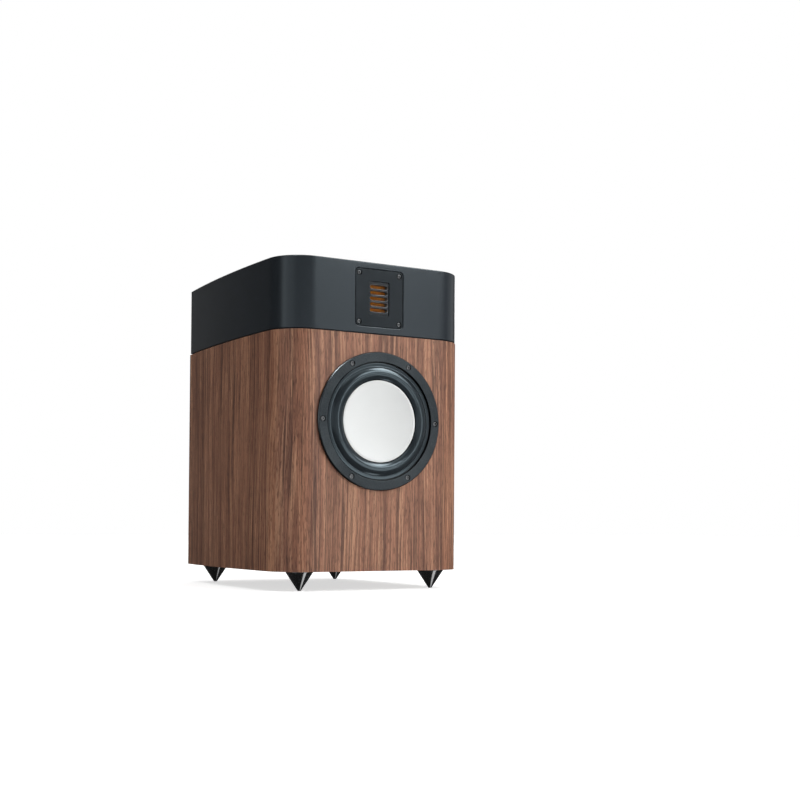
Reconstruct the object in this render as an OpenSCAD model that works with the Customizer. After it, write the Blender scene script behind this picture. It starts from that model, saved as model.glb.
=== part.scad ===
// Two-way bookshelf loudspeaker: a veneered bass cabinet with bowed sides, a black tweeter
// head that sits on it over a shadow gap, and four cone spikes. Millimetres, +Z up, front
// facing -Y, origin on the floor under the middle of the overall box.

/* [Bass cabinet] */
// Width at the widest point of the bowed sides
cabinet_w = 279; // [255:1:320]
// Depth from the baffle face to the rear face
cabinet_d = 338; // [320:1:400]
// Height of the veneered part
bass_h = 306.5; // [300:0.5:360]
// Outer radius of the two front vertical corners
corner_r = 47; // [30:1:60]
// Radius of the bowed side walls
side_r = 2060; // [1500:10:6000]
// Distance of the widest point behind the baffle face
widest_y = 127; // [90:1:170]
// Thickness of the bent side and front wall, veneer included
wall_t = 18; // [15:0.5:22]
// Thickness of the rear panel
rear_t = 18; // [12:0.5:20]
// Thickness of the bottom and top panels
panel_t = 18; // [15:0.5:22]
// Thickness of the walnut veneer
veneer_t = 0.6; // [0.4:0.1:1.5]

/* [Inside the bass cabinet] */
// Distance of the ring brace behind the baffle face
brace_y = 190; // [150:1:195]
// Thickness of the ring brace
brace_t = 15; // [9:1:18]
// Width of the brace's rim around its window
brace_rim = 36; // [20:1:45]
// Thickness of the foam on the side walls
foam_t = 12; // [6:1:18]
// Height of the foam pads
foam_h = 190; // [100:1:230]

/* [Tweeter head] */
// Height of the head
head_h = 92; // [88:1:120]
// Thickness of the head's wall
head_wall = 16; // [12:0.5:20]
// Thickness of the head's top
head_top_t = 16; // [10:0.5:22]
// Thickness of the head's base plate
head_base_t = 12; // [10:0.5:16]
// Step from the veneer's face in to the head's face
head_inset = 0.8; // [0.4:0.1:3]
// Height of the shadow gap between cabinet and head
seam_gap = 1.5; // [1:0.1:4]

/* [Spikes] */
// Height of a spike below the cabinet
spike_h = 25; // [18:1:40]
// Radius of a spike's top
spike_top_r = 17.5; // [12:0.5:20]
// Radius of a spike's blunt tip
spike_tip_r = 2; // [1.5:0.1:4]
// Distance of a spike's axis in from the widest point of the side
spike_x = 41.5; // [39.5:0.5:60]
// Distance of the front spikes' axes behind the baffle face
spike_front = 30.5; // [28:0.5:45]
// Distance of the rear spikes' axes from the rear face
spike_rear = 30.5; // [28:0.5:45]
// Radius of the threaded stud
stud_r = 3.95; // [3:0.05:5]
// Length of the threaded stud
stud_l = 22; // [20:1:28]

/* [Woofer] */
// Distance of the woofer's axis below the top edge of the veneer
woofer_z = 112.5; // [104:0.5:116]
// Outer radius of the trim ring
ring_r = 90; // [88:0.5:94]
// Inner radius of the trim ring
ring_in_r = 77; // [75.5:0.5:78]
// How far the trim ring stands proud of the baffle
ring_proud = 4; // [3.4:0.1:7]
// Radius of the circle that the six woofer screws lie on
screw_circle_r = 83.5; // [83:0.1:84]
// Radius of the cone's edge
cone_r = 53.6; // [50:0.1:55]
// Depth of the dished cone
cone_dish = 11; // [6:0.5:14]
// Thickness of the cone
cone_t = 1; // [0.6:0.1:1.6]
// Height of the surround's half roll
roll_h = 5.2; // [4:0.1:8]
// Inner radius of the voice coil former
former_r = 19.5; // [18:0.1:21]
// Height of the voice coil winding
coil_h = 13; // [10:0.5:16]
// Radius of the ferrite ring magnet
magnet_r = 49; // [44:0.5:52]
// Thickness of the ferrite ring magnet
magnet_t = 17; // [14:0.5:22]
// Distance of the magnet system's front behind the baffle face
motor_y = 55; // [52:0.5:60]

/* [Tweeter] */
// Height of the tweeter's axis above the head's underside
tweeter_z = 46; // [44:0.5:48]
// Width of the faceplate
plate_w = 70.4; // [66:0.2:78]
// Height of the faceplate
plate_h = 74.3; // [72:0.1:78]
// Thickness of the faceplate
plate_t = 4; // [3:0.1:6]
// Corner radius of the faceplate
plate_r = 5; // [3:0.5:7]
// How far the faceplate lies below the head's face
plate_sunk = 0.8; // [0.2:0.1:2]
// Distance of the plate screws from the plate's edges
plate_screw_in = 5.4; // [5:0.1:6]
// Number of sound slots
slot_count = 5; // [4:1:5]
// Distance between neighbouring slots
slot_pitch = 7.5; // [7.2:0.1:8]
// Length of a slot
slot_w = 26; // [20:0.5:26]
// Height of a slot
slot_h = 5.1; // [3:0.1:5.4]
// Number of pleats in the folded diaphragm
pleat_count = 12; // [8:1:15]
// Depth of a pleat
pleat_d = 3.6; // [2.5:0.1:4.5]

/* [Reflex port] */
// Height of the port's axis above the cabinet's underside
port_z = 215; // [205:1:225]
// Inner radius of the port
port_r = 25; // [20:0.5:27]
// Length of the port from the rear face to its inner end
port_l = 118; // [90:1:120]
// Radius of the rounded mouth
mouth_r = 12; // [8:0.5:14]

/* [Terminals] */
// Height of the terminal plate's middle above the cabinet's underside
terminal_z = 88; // [80:1:100]
// Width of the terminal plate
terminal_w = 92; // [84:1:110]
// Height of the terminal plate
terminal_h = 66; // [60:1:80]
// Thickness of the terminal plate
terminal_t = 3; // [2:0.5:4]
// Distance between the two binding posts
post_pitch = 19; // [18.5:0.25:26]
// Radius of a binding post's threaded shaft
shaft_r = 4; // [3.5:0.1:4.5]
// Radius of a binding post's cap
cap_r = 8.5; // [7:0.1:9]
// Length of a binding post's cap
cap_l = 17.3; // [14:0.1:22]
// Radius of the socket for a banana plug
socket_r = 2.05; // [2:0.05:2.2]

/* [Hidden] */
$fn = 96;

// Clearances
panel_fit = 0.1;     // glue line between panels
rim_fit = 0.4;       // round a flange in its rebate
thread_fit = 0.05;   // radial, between a thread and its hole
seat_fit = 0.3;      // between a moving piece and its stop
cut = 1;             // how far a cutter runs past a face
arc_lap = 0.002;     // corner arcs reach this far past the side arcs, so that the two cross

// Places
cap_stop = 4.2;      // from the terminal plate's face to the cap at rest
shaft_sunk = 3;      // shaft's end lies this far inside the cap's end
socket_l = 15;       // depth of the socket for a banana plug
plate_screw_r = 1.5;
plate_screw_bite = 10; // how far a plate screw reaches into the wood
rear_proud = terminal_t + cap_stop + cap_l;
front_proud = max(ring_proud, roll_h);
front_y = -(cabinet_d + rear_proud - front_proud) / 2;
head_z = bass_h + seam_gap;
inner_d = cabinet_d - rear_t;

// Woofer stack, as depths behind the baffle face
flange_r = ring_r - 2;
flange_t = 4;
gasket_t = 1;
land_t = 1.2;              // surround's flat edge, sunk into the flange
land_y = -1.5;             // its face
land_in_r = 71;
rim_y = -1.5;              // cone's edge
hole_r = ring_in_r + 1.5;  // cut-out in the baffle
screw_r = 2;
head_r = 3.5;
head_t = 2.4;
spider_y = 36;
spider_land_r = 54;
ledge_r = 46;
ledge_t = 3;
seat_t = 5;
seat_r = 52;
top_plate_t = 6;
yoke_t = 7;
coil_gap_r = former_r + 2.1;
former_t = 0.3;
coil_t = 1.1;
pole_r = former_r - 0.6;
pole_lead = 1;             // pole stands this far in front of the top plate
sleeve_t = 0.3;
sleeve_l = 13;
boot_t = 2.2;
former_end = motor_y + top_plate_t / 2 + coil_h / 2 + 1.5;
magnet_y = motor_y + top_plate_t;
yoke_y = magnet_y + magnet_t;

// Tweeter stack, as depths behind the head's face
window_w = slot_w + 3.2;
window_h = (slot_count - 1) * slot_pitch + slot_h + 8.3;
pad_sunk = 1.3;
body_w = 50;
body_h = 52;
body_fit = 1;
pole_t = 4;
pole_y = plate_sunk + plate_t;
frame_y = pole_y + pole_t;
frame_t = pleat_d + 1;
rear_pole_y = frame_y + frame_t;
cup_y = rear_pole_y + pole_t;
cup_l = 22;
cup_wall = 2.5;
tweeter_tab_end = head_inset + cup_y + cup_l + 7;
film_t = 0.9;              // film's thickness along its folds
magnet_bar_w = 4.8;        // one of the six side magnets
magnet_bar_l = 16;
screw_x = plate_w / 2 - plate_screw_in;
screw_z = plate_h / 2 - plate_screw_in;

// Fasteners between cabinet and head
bolt_x = 70;
bolt_ys = [95, 255];
bolt_r = 3;
dowel_x = 95;
dowel_y = 150;
dowel_r = 4;
dowel_l = 18;
grommet_y = 236;
grommet_r = 9;
gasket_inset = 3;
gasket_w = 9;

// Crossover
board_w = 150;
board_d = 84;
board_t = 3;
board_lift = 8;
board_y = brace_y + brace_t + 14;
board_top = panel_t + board_lift + board_t;
coil_x = 44;
coil_y = 30;
big_coil_r = 23;
big_coil_h = 16;
small_coil_r = 17;
small_coil_h = 13;
coil_hole = 10;
capacitor_row = 24;        // distance between the rows
capacitor_r = 9.5;
capacitor_l = 32;
resistor_l = 36;
resistor_w = 9;

// Tabs that the drivers' leads are soldered to
woofer_tab_y = 31;
woofer_tab_gap = 5;
tweeter_tab_x = 12;
tab_w = 4.8;
tab_t = 0.8;
tab_out = 8;

// Leads, in the cabinet frame, as the middle line of each twin
lead_r = 1.3;
lead_gap = 0.4;
twin = [1.8, 1.2, 0];
woofer_twin = [2, 0, 0.6];
post_end = 14;       // how far a post's shaft reaches in past the rear face
input_route = [[9.5, 323.6, 88], [10, 312, 86], [24, 308, 70], [44, 300, 52], [50, 290, 40]];
tweeter_route = [[60, 284, 40], [70, 280, 60], [76, 262, 110], [76, 240, 190], [60, 224, 250],
  [32, 228, 272], [7, 234.5, 281], [0, 236, 293], [0, 236, 324], [0, 226, 348],
  [0, 180, 358]];
tweeter_fork = [6, 115, 356];
woofer_route = [[56, 226, 40], [64, 214, 60], [66, 194, 90], [68, 170, 130], [80, 110, 170],
  [88, 52, 186], [82, 33, 192]];

spike_spots = [for (y = [spike_front, cabinet_d - spike_rear], side = [-1, 1])
  [side * (cabinet_w / 2 - spike_x), y]];

// ---------------------------------------------------------------- frames
// Cabinet frame: x across, y back from the baffle face, z up from the cabinet's underside
module in_cabinet() translate([0, front_y, spike_h]) children();
module in_head() in_cabinet() translate([0, 0, head_z]) children();
// Axis frames: local z runs back from the face, local y runs down
module woofer_axis()
  in_cabinet() translate([0, 0, bass_h - woofer_z]) rotate([-90, 0, 0]) children();
module tweeter_axis()
  in_head() translate([0, head_inset, tweeter_z]) rotate([-90, 0, 0]) children();
// Local z runs out of the rear face
module rear_axis(x, z) in_cabinet() translate([x, cabinet_d, z]) rotate([-90, 0, 0]) children();

// ---------------------------------------------------------------- shared shapes
// Plan of the cabinet: flat front, two corner arcs and two long side arcs that run into them,
// all moved in by inset, with the straight rear edge moved in by rear_inset
module plan(inset = 0, rear_inset = 0) {
  arc_x = side_r - cabinet_w / 2;
  run = side_r - corner_r;
  corner_x = sqrt(run * run - pow(widest_y - corner_r, 2)) - arc_x;
  meet_y = widest_y - (widest_y - corner_r) / run * (side_r - inset);
  intersection() {
    translate([-cabinet_w, inset]) square([2 * cabinet_w, cabinet_d - inset - rear_inset]);
    union() {
      intersection() {
        translate([arc_x, widest_y]) circle(r = side_r - inset, $fn = 720);
        translate([-arc_x, widest_y]) circle(r = side_r - inset, $fn = 720);
        translate([-cabinet_w, meet_y]) square([2 * cabinet_w, cabinet_d]);
      }
      for (x = [-corner_x, corner_x])
        translate([x, corner_r]) circle(r = corner_r - inset + arc_lap);
      translate([-corner_x, 0]) square([2 * corner_x, meet_y + corner_r]);
    }
  }
}

module rounded(w, h, r) {
  square([w - 2 * r, h], center = true);
  square([w, h - 2 * r], center = true);
  for (sx = [-1, 1], sy = [-1, 1])
    translate([sx * (w / 2 - r), sy * (h / 2 - r)]) circle(r = r);
}

module disc(r, from, to) translate([0, 0, from]) cylinder(r = r, h = to - from);

module tube(r_in, r_out, from, to) difference() {
  disc(r_out, from, to);
  disc(r_in, from - cut, to + cut);
}

module six_around(r) for (i = [0:5]) rotate([0, 0, i * 60]) translate([r, 0, 0]) children();

module four_corners(x, y) for (sx = [-1, 1], sy = [-1, 1]) translate([sx * x, sy * y, 0]) children();

// Socket-head screw whose head's top lies at z 0 and whose shank runs to z length
module screw(shank_r, length, head_radius, head_height, socket_r) difference() {
  union() {
    disc(head_radius, 0, head_height);
    disc(shank_r, head_height / 2, length);
  }
  translate([0, 0, -cut]) cylinder(r = socket_r, h = cut + head_height * 0.6, $fn = 6);
}

// Round lead along a smooth curve through points
function curve_at(p, i, u) =
  let (a = p[max(i - 1, 0)], b = p[i], c = p[i + 1], d = p[min(i + 2, len(p) - 1)])
  0.5 * ((2 * b) + (c - a) * u + (2 * a - 5 * b + 4 * c - d) * u * u
         + (3 * b - a - 3 * c + d) * u * u * u);
function smooth(p, steps) = concat(
  [for (i = [0:len(p) - 2], k = [0:steps - 1]) curve_at(p, i, k / steps)], [p[len(p) - 1]]);
function unit(v) = v / norm(v);

// Direction along a path at each of its points
function headings(path) = [for (i = [0:len(path) - 1])
  unit(path[min(i + 1, len(path) - 1)] - path[max(i - 1, 0)])];
// One cross axis per point, each turned from the last only as far as the path turns
function cross_axes(t) = [for (i = 0, n = unit(cross(t[0], [0.5, 0.5, 0.7])); i < len(t);
  i = i + 1, n = i < len(t) ? unit(n - (n * t[i]) * t[i]) : n) n];

module lead(points, r = lead_r, sides = 8) {
  path = smooth(points, 3);
  last = len(path) - 1;
  t = headings(path);
  n = cross_axes(t);
  rings = [for (i = [0:last], k = [0:sides - 1])
    path[i] + r * (n[i] * cos(k * 360 / sides) + cross(t[i], n[i]) * sin(k * 360 / sides))];
  skin = [for (i = [0:last - 1], k = [0:sides - 1])
    let (a = i * sides + k, b = i * sides + (k + 1) % sides)
    [b, a, a + sides, b + sides]];
  polyhedron(rings, concat(skin, [[for (k = [0:sides - 1]) k]],
    [[for (k = [sides - 1:-1:0]) last * sides + k]]));
}

// ---------------------------------------------------------------- bass cabinet
module cabinet_wrap() color("tan") difference() {
  in_cabinet() linear_extrude(bass_h) difference() {
    plan(veneer_t);
    plan(wall_t, -cut);
  }
  woofer_axis() {
    disc(hole_r, -cut, wall_t + cut);
    disc(flange_r + rim_fit, -cut, flange_t + gasket_t);
    six_around(screw_circle_r) disc(screw_r + thread_fit, 0, wall_t + cut);
  }
}

module walnut_veneer() color("saddlebrown") difference() {
  in_cabinet() linear_extrude(bass_h) difference() {
    plan(0);
    plan(veneer_t, -cut);
  }
  woofer_axis() disc(flange_r + rim_fit, -cut, veneer_t + cut);
}

module rear_panel() color("saddlebrown") difference() {
  in_cabinet() linear_extrude(bass_h) intersection() {
    plan(wall_t + panel_fit);
    translate([-cabinet_w / 2, inner_d]) square([cabinet_w, rear_t]);
  }
  rear_axis(0, port_z) disc(socket_out_r() + rim_fit, -rear_t - cut, cut);
  rear_axis(0, terminal_z) {
    translate([0, 0, -rear_t - cut]) linear_extrude(rear_t + 2 * cut)
      rounded(terminal_w - 34, terminal_h - 26, 6);
    four_corners(terminal_w / 2 - 8, terminal_h / 2 - 8)
      disc(plate_screw_r + thread_fit, -plate_screw_bite - 2, cut);
  }
}

module flat_panel() linear_extrude(panel_t) plan(wall_t + panel_fit, rear_t + panel_fit);

module bottom_panel() color("tan") in_cabinet() difference() {
  flat_panel();
  for (p = spike_spots) translate(p) disc(insert_r() + thread_fit, -cut, panel_t + cut);
}

module bass_top_panel() color("tan") in_cabinet() difference() {
  translate([0, 0, bass_h - panel_t]) flat_panel();
  for (x = [-bolt_x, bolt_x], y = bolt_ys)
    translate([x, y]) disc(bolt_r + thread_fit, bass_h - panel_t - cut, bass_h + cut);
  for (x = [-dowel_x, dowel_x])
    translate([x, dowel_y]) disc(dowel_r + thread_fit, bass_h - dowel_l / 2, bass_h + cut);
  translate([0, grommet_y]) disc(grommet_r, bass_h - panel_t - cut, bass_h + cut);
}

module ring_brace() color("tan") in_cabinet() difference() {
  translate([0, 0, panel_t + panel_fit])
    linear_extrude(bass_h - 2 * panel_t - 2 * panel_fit) intersection() {
      plan(wall_t + panel_fit);
      translate([-cabinet_w / 2, brace_y]) square([cabinet_w, brace_t]);
    }
  translate([0, brace_y - cut, bass_h / 2]) rotate([-90, 0, 0])
    linear_extrude(brace_t + 2 * cut)
      rounded(cabinet_w - 2 * wall_t - 2 * brace_rim, bass_h - 2 * panel_t - 2 * brace_rim, 24);
}

module damping_foam() color("dimgray") in_cabinet()
  translate([0, 0, (bass_h - foam_h) / 2]) linear_extrude(foam_h) intersection() {
    difference() {
      plan(wall_t + panel_fit, -cut);
      plan(wall_t + foam_t, -cut);
    }
    for (y = [[wall_t + 32, brace_y - 4], [brace_y + brace_t + 4, inner_d - 4]])
      translate([-cabinet_w / 2, y[0]]) square([cabinet_w, y[1] - y[0]]);
  }

module cable_grommet() color("black") in_cabinet() translate([0, grommet_y, 0]) {
  tube(4, grommet_r - thread_fit, bass_h - panel_t - 2, bass_h + 0.5);
  tube(grommet_r - 1, grommet_r + 3, bass_h - panel_t - 2, bass_h - panel_t);
}

// ---------------------------------------------------------------- tweeter head
module head_shell() color([0.12, 0.13, 0.14]) difference() {
  in_head() difference() {
    linear_extrude(head_h) plan(head_inset, head_inset);
    translate([0, 0, -cut]) linear_extrude(head_h - head_top_t + cut)
      plan(head_inset + head_wall, head_inset + head_wall);
  }
  tweeter_axis() {
    translate([0, 0, -cut]) linear_extrude(cut + pole_y + gasket_t)
      rounded(plate_w + 2 * rim_fit, plate_h + 2 * rim_fit, plate_r + rim_fit);
    linear_extrude(head_wall + 2 * cut)
      rounded(body_w + 2 * body_fit, body_h + 2 * body_fit, 3);
    four_corners(screw_x, screw_z) disc(1.5 + thread_fit, 0, head_wall - 2);
  }
}

module head_base() color("tan") in_head() difference() {
  linear_extrude(head_base_t)
    plan(head_inset + head_wall + panel_fit, head_inset + head_wall + panel_fit);
  for (x = [-bolt_x, bolt_x], y = bolt_ys)
    translate([x, y]) disc(2 * bolt_r + thread_fit, -cut, head_base_t + cut);
  for (x = [-dowel_x, dowel_x])
    translate([x, dowel_y]) disc(dowel_r + thread_fit, -cut, dowel_l / 2);
  translate([0, grommet_y]) disc(grommet_r, -cut, head_base_t + cut);
}

module isolation_gasket() color("black")
  in_cabinet() translate([0, 0, bass_h]) linear_extrude(seam_gap) difference() {
    plan(gasket_inset, gasket_inset);
    plan(gasket_inset + gasket_w, gasket_inset + gasket_w);
  }

module joining_bolts() color("silver") in_cabinet()
  for (x = [-bolt_x, bolt_x], y = bolt_ys) translate([x, y, bass_h - panel_t - 4])
    screw(bolt_r, 4 + panel_t + seam_gap + head_base_t - 2, 5.5, 4, 2.5);

module joining_inserts() color("goldenrod") in_head()
  for (x = [-bolt_x, bolt_x], y = bolt_ys)
    translate([x, y]) tube(bolt_r + thread_fit, 2 * bolt_r, 0, head_base_t);

module locating_dowels() color("burlywood") in_cabinet()
  for (x = [-dowel_x, dowel_x]) translate([x, dowel_y])
    disc(dowel_r, bass_h - dowel_l / 2 + panel_fit, head_z + dowel_l / 2 - panel_fit);

// ---------------------------------------------------------------- spikes
function insert_r() = stud_r + 2.6;

module spike_inserts() color("goldenrod") in_cabinet() for (p = spike_spots)
  translate(p) tube(stud_r + thread_fit, insert_r(), 0, panel_t - 2);

module spike(spot) color([0.08, 0.08, 0.09]) in_cabinet() translate(spot) {
  rotate_extrude() polygon([[0, -spike_h], [spike_tip_r, -spike_h],
    [spike_top_r, -seat_fit - 1.2], [spike_top_r, -seat_fit], [0, -seat_fit]]);
  disc(stud_r, -cut, stud_l - 1);
  translate([0, 0, stud_l - 1]) cylinder(r1 = stud_r, r2 = stud_r - 1, h = 1);
}

// ---------------------------------------------------------------- woofer
module woofer_trim_ring() color([0.15, 0.16, 0.17]) woofer_axis() difference() {
  rotate_extrude() polygon([[ring_in_r, -panel_fit], [ring_in_r, 0.8 - ring_proud],
    [ring_in_r + 0.8, -ring_proud], [ring_r - 1.4, -ring_proud],
    [ring_r, 1.6 - ring_proud], [ring_r, -panel_fit]]);
  six_around(screw_circle_r) {
    disc(screw_r + 0.3, -ring_proud - cut, cut);
    disc(head_r + 0.3, -ring_proud - cut, head_t + 0.4 - ring_proud);
  }
}

module woofer_screws() color("black") woofer_axis() six_around(screw_circle_r)
  translate([0, 0, 0.4 - ring_proud])
    screw(screw_r, ring_proud - 0.4 + wall_t - 2, head_r, head_t, 1.5);

module woofer_gasket() color("black") woofer_axis() difference() {
  tube(hole_r + 1, flange_r, flange_t, flange_t + gasket_t);
  six_around(screw_circle_r) disc(screw_r + 0.3, flange_t - cut, flange_t + gasket_t + cut);
}

// Cast frame: flange, six-armed bell with windows, ledge for the spider, seat for the motor
module woofer_basket() color([0.2, 0.2, 0.21]) woofer_axis() difference() {
  union() {
    rotate_extrude() polygon([[land_in_r, land_t], [ring_in_r - 0.1, land_t],
      [ring_in_r - 0.1, 0], [flange_r, 0], [flange_r, flange_t], [ring_in_r, flange_t],
      [seat_r + 2, motor_y - seat_t / 2], [seat_r, motor_y], [coil_gap_r + 2, motor_y],
      [coil_gap_r + 2, motor_y - seat_t], [seat_r - 3, motor_y - seat_t],
      [ring_in_r - 4, flange_t + 2], [land_in_r, flange_t]]);
    tube(ledge_r, bell_r(spider_y + ledge_t / 2), spider_y, spider_y + ledge_t);
  }
  for (i = [0:5]) rotate([0, 0, i * 60 + 30]) {
    window(flange_t + 5, spider_y - 2, 46, 34);
    window(spider_y + ledge_t + 2, motor_y - seat_t - 1, 26, 22);
  }
  six_around(screw_circle_r) disc(screw_r + 0.3, -cut, flange_t + cut);
  woofer_tabs(panel_fit);
}

// Mid-wall radius of the bell at a depth
function bell_r(y) = ring_in_r - 2
  - (ring_in_r - seat_r - 2.5) * (y - flange_t - 1) / (motor_y - seat_t - flange_t);

module window(from, to, width_front, width_back) rotate([90, 0, 90])
  linear_extrude(ring_r) polygon([[-width_front / 2, from], [width_front / 2, from],
    [width_back / 2, to], [-width_back / 2, to]]);

// Rubber half roll between two flat lands
module woofer_surround() color([0.1, 0.1, 0.11]) woofer_axis() {
  mid_r = (land_in_r + cone_r + 0.4) / 2;
  half = (land_in_r - cone_r - 0.4) / 2;
  arc_h = roll_h + land_y;
  arc_r = (half * half + arc_h * arc_h) / (2 * arc_h);
  arc_y = arc_r - roll_h;
  sweep = asin(half / arc_r);
  skin = 0.8;
  steps = 14;
  outside = [for (k = [0:steps])
    [mid_r + arc_r * sin(sweep - 2 * sweep * k / steps),
     arc_y - arc_r * cos(sweep - 2 * sweep * k / steps)]];
  inside = [for (k = [steps:-1:0])
    [mid_r + (arc_r - skin) * sin(sweep - 2 * sweep * k / steps),
     arc_y - (arc_r - skin) * cos(sweep - 2 * sweep * k / steps)]];
  back = rim_y + cone_t;
  rotate_extrude() polygon(concat(
    [[ring_in_r - 0.3, land_t], [ring_in_r - 0.3, land_y]], outside,
    [[cone_r + 0.1, back], [cone_r - 2.4, back], [cone_r - 2.4, back + land_t],
     [cone_r + 1, back + land_t]], inside, [[land_in_r, land_t]]));
}

// One-piece dished cone with a flat rim and a neck for the former
module woofer_cone() color("white") woofer_axis() {
  dish_r = cone_r - 2.6;
  ball_r = (dish_r * dish_r + cone_dish * cone_dish) / (2 * cone_dish);
  ball_y = rim_y + cone_dish - ball_r;
  steps = 16;
  front = [for (k = [0:steps]) let (r = dish_r * k / steps)
    [r, ball_y + sqrt(ball_r * ball_r - r * r)]];
  rear = [for (k = [steps:-1:0]) let (r = dish_r * k / steps)
    [r, ball_y + cone_t + sqrt(ball_r * ball_r - r * r)]];
  rotate_extrude() polygon(concat(front, [[cone_r, rim_y], [cone_r, rim_y + cone_t]], rear));
  neck_r = former_r + former_t + thread_fit;
  neck_y = ball_y + sqrt(ball_r * ball_r - neck_r * neck_r) + cone_t / 2;
  tube(neck_r, neck_r + 1.4, neck_y, neck_y + 5);
}

function dish_back(r) =
  let (dish_r = cone_r - 2.6, ball_r = (dish_r * dish_r + cone_dish * cone_dish) / (2 * cone_dish))
  rim_y + cone_dish - ball_r + cone_t + sqrt(ball_r * ball_r - r * r);

module coil_former() color("silver") woofer_axis()
  tube(former_r, former_r + former_t, dish_back(former_r) + panel_fit, former_end);

module voice_coil() color("darkgoldenrod") woofer_axis()
  tube(former_r + former_t, former_r + former_t + coil_t,
       motor_y + (top_plate_t - coil_h) / 2, motor_y + (top_plate_t + coil_h) / 2);

// Corrugated spider between the former and the basket's ledge
module woofer_spider() color("khaki") woofer_axis() {
  in_r = former_r + former_t + thread_fit;
  wave_in = in_r + 4;
  wave_out = ledge_r - 1;
  waves = 5;
  steps = 40;
  swing = 1.7;
  cloth = 0.7;
  top = [for (k = [0:steps])
    [wave_in + (wave_out - wave_in) * k / steps,
     spider_y - cloth - swing * sin(k * 360 * waves / steps)]];
  bottom = [for (k = [steps:-1:0]) top[k] + [0, cloth]];
  rotate_extrude() polygon(concat([[in_r, spider_y - 4], [in_r + 1, spider_y - 4],
    [in_r + 1, spider_y - cloth]], top, [[spider_land_r, spider_y - cloth],
    [spider_land_r, spider_y]], bottom, [[in_r, spider_y]]));
}

module woofer_top_plate() color("silver") woofer_axis()
  tube(coil_gap_r, magnet_r - 3, motor_y, magnet_y);

module woofer_magnet() color([0.25, 0.25, 0.25]) woofer_axis()
  tube(coil_gap_r + 5, magnet_r, magnet_y, yoke_y);

module woofer_yoke() color("silver") woofer_axis() difference() {
  union() {
    disc(magnet_r - 3, yoke_y, yoke_y + yoke_t);
    disc(pole_r - sleeve_t, motor_y - pole_lead, yoke_y + cut);
  }
  disc(7, motor_y - pole_lead - cut, yoke_y + yoke_t + cut);
}

module copper_sleeve() color("peru") woofer_axis()
  tube(pole_r - sleeve_t, pole_r, motor_y - pole_lead, motor_y - pole_lead + sleeve_l);

module magnet_boot() color("black") woofer_axis() {
  tube(magnet_r + 0.2, magnet_r + boot_t, magnet_y + 1, yoke_y + yoke_t + 0.2);
  tube(14, magnet_r + boot_t, yoke_y + yoke_t + 0.2, yoke_y + yoke_t + boot_t);
}

// Two braided leads from the coil to the tabs
module tinsel_leads() color("peru") woofer_axis() for (side = [-1, 1])
  lead([[former_r + former_t + coil_t, side * 3, 27], [27, side * 4, 29.5],
        [36, side * woofer_tab_gap, 28], [46, side * woofer_tab_gap, 29],
        [bell_r(woofer_tab_y) - tab_out - lead_gap, side * woofer_tab_gap, woofer_tab_y]], 0.7);

// Tabs: two through the woofer's bell, two through the tweeter's cup
module driver_tabs() color("gold") {
  woofer_axis() woofer_tabs(0);
  tweeter_axis() tweeter_tabs(0);
}

module woofer_tabs(room) for (side = [-1, 1])
  translate([bell_r(woofer_tab_y), side * woofer_tab_gap, woofer_tab_y])
    cube([2 * tab_out, tab_w + 2 * room, tab_t + 2 * room], center = true);

module tweeter_tabs(room) for (side = [-1, 1])
  translate([side * tweeter_tab_x, 0, tweeter_tab_end - head_inset - tab_out])
    cube([tab_w + 2 * room, tab_t + 2 * room, 2 * tab_out], center = true);

// ---------------------------------------------------------------- tweeter
module tweeter_faceplate() color([0.13, 0.13, 0.14]) tweeter_axis() difference() {
  translate([0, 0, plate_sunk]) linear_extrude(plate_t) rounded(plate_w, plate_h, plate_r);
  translate([0, 0, plate_sunk - cut]) linear_extrude(plate_t + 2 * cut)
    rounded(window_w + 0.4, window_h + 0.4, 1.6);
  four_corners(screw_x, screw_z) {
    disc(1.7, 0, pole_y + cut);
    disc(3.1, plate_sunk - cut, plate_sunk + 2);
  }
}

module tweeter_screws() color("black") tweeter_axis() four_corners(screw_x, screw_z)
  translate([0, 0, plate_sunk + 0.3]) screw(1.5, head_wall - 4, 2.9, 1.6, 1.3);

module tweeter_gasket() color("black") tweeter_axis() difference() {
  translate([0, 0, pole_y]) linear_extrude(gasket_t) difference() {
    rounded(plate_w, plate_h, plate_r);
    rounded(body_w + 2 * body_fit, body_h + 2 * body_fit, 3);
  }
  four_corners(screw_x, screw_z) disc(1.7, pole_y - cut, pole_y + gasket_t + cut);
}

module sound_slots() for (i = [0:slot_count - 1])
  translate([0, (i - (slot_count - 1) / 2) * slot_pitch]) rounded(slot_w, slot_h, slot_h / 2 - 0.05);

// Slotted steel pole plate with a pad that fills the faceplate's window
module tweeter_front_pole() color("lightgray") tweeter_axis() difference() {
  union() {
    translate([0, 0, pole_y]) linear_extrude(pole_t) rounded(body_w, body_h, 3);
    translate([0, 0, plate_sunk + pad_sunk]) linear_extrude(plate_t - pad_sunk + 0.5)
      rounded(window_w, window_h, 1.4);
  }
  translate([0, 0, plate_sunk]) linear_extrude(pole_t + plate_t + cut) sound_slots();
}

module tweeter_rear_pole() color("lightgray") tweeter_axis() difference() {
  translate([0, 0, rear_pole_y]) linear_extrude(pole_t) rounded(body_w, body_h, 3);
  translate([0, 0, rear_pole_y - cut]) linear_extrude(pole_t + 2 * cut) sound_slots();
}

module diaphragm_frame() color("darkgreen") tweeter_axis()
  translate([0, 0, frame_y]) linear_extrude(frame_t) difference() {
    square([window_w + 10, body_h - 6], center = true);
    square([window_w - 1, window_h - 2], center = true);
  }

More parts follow.
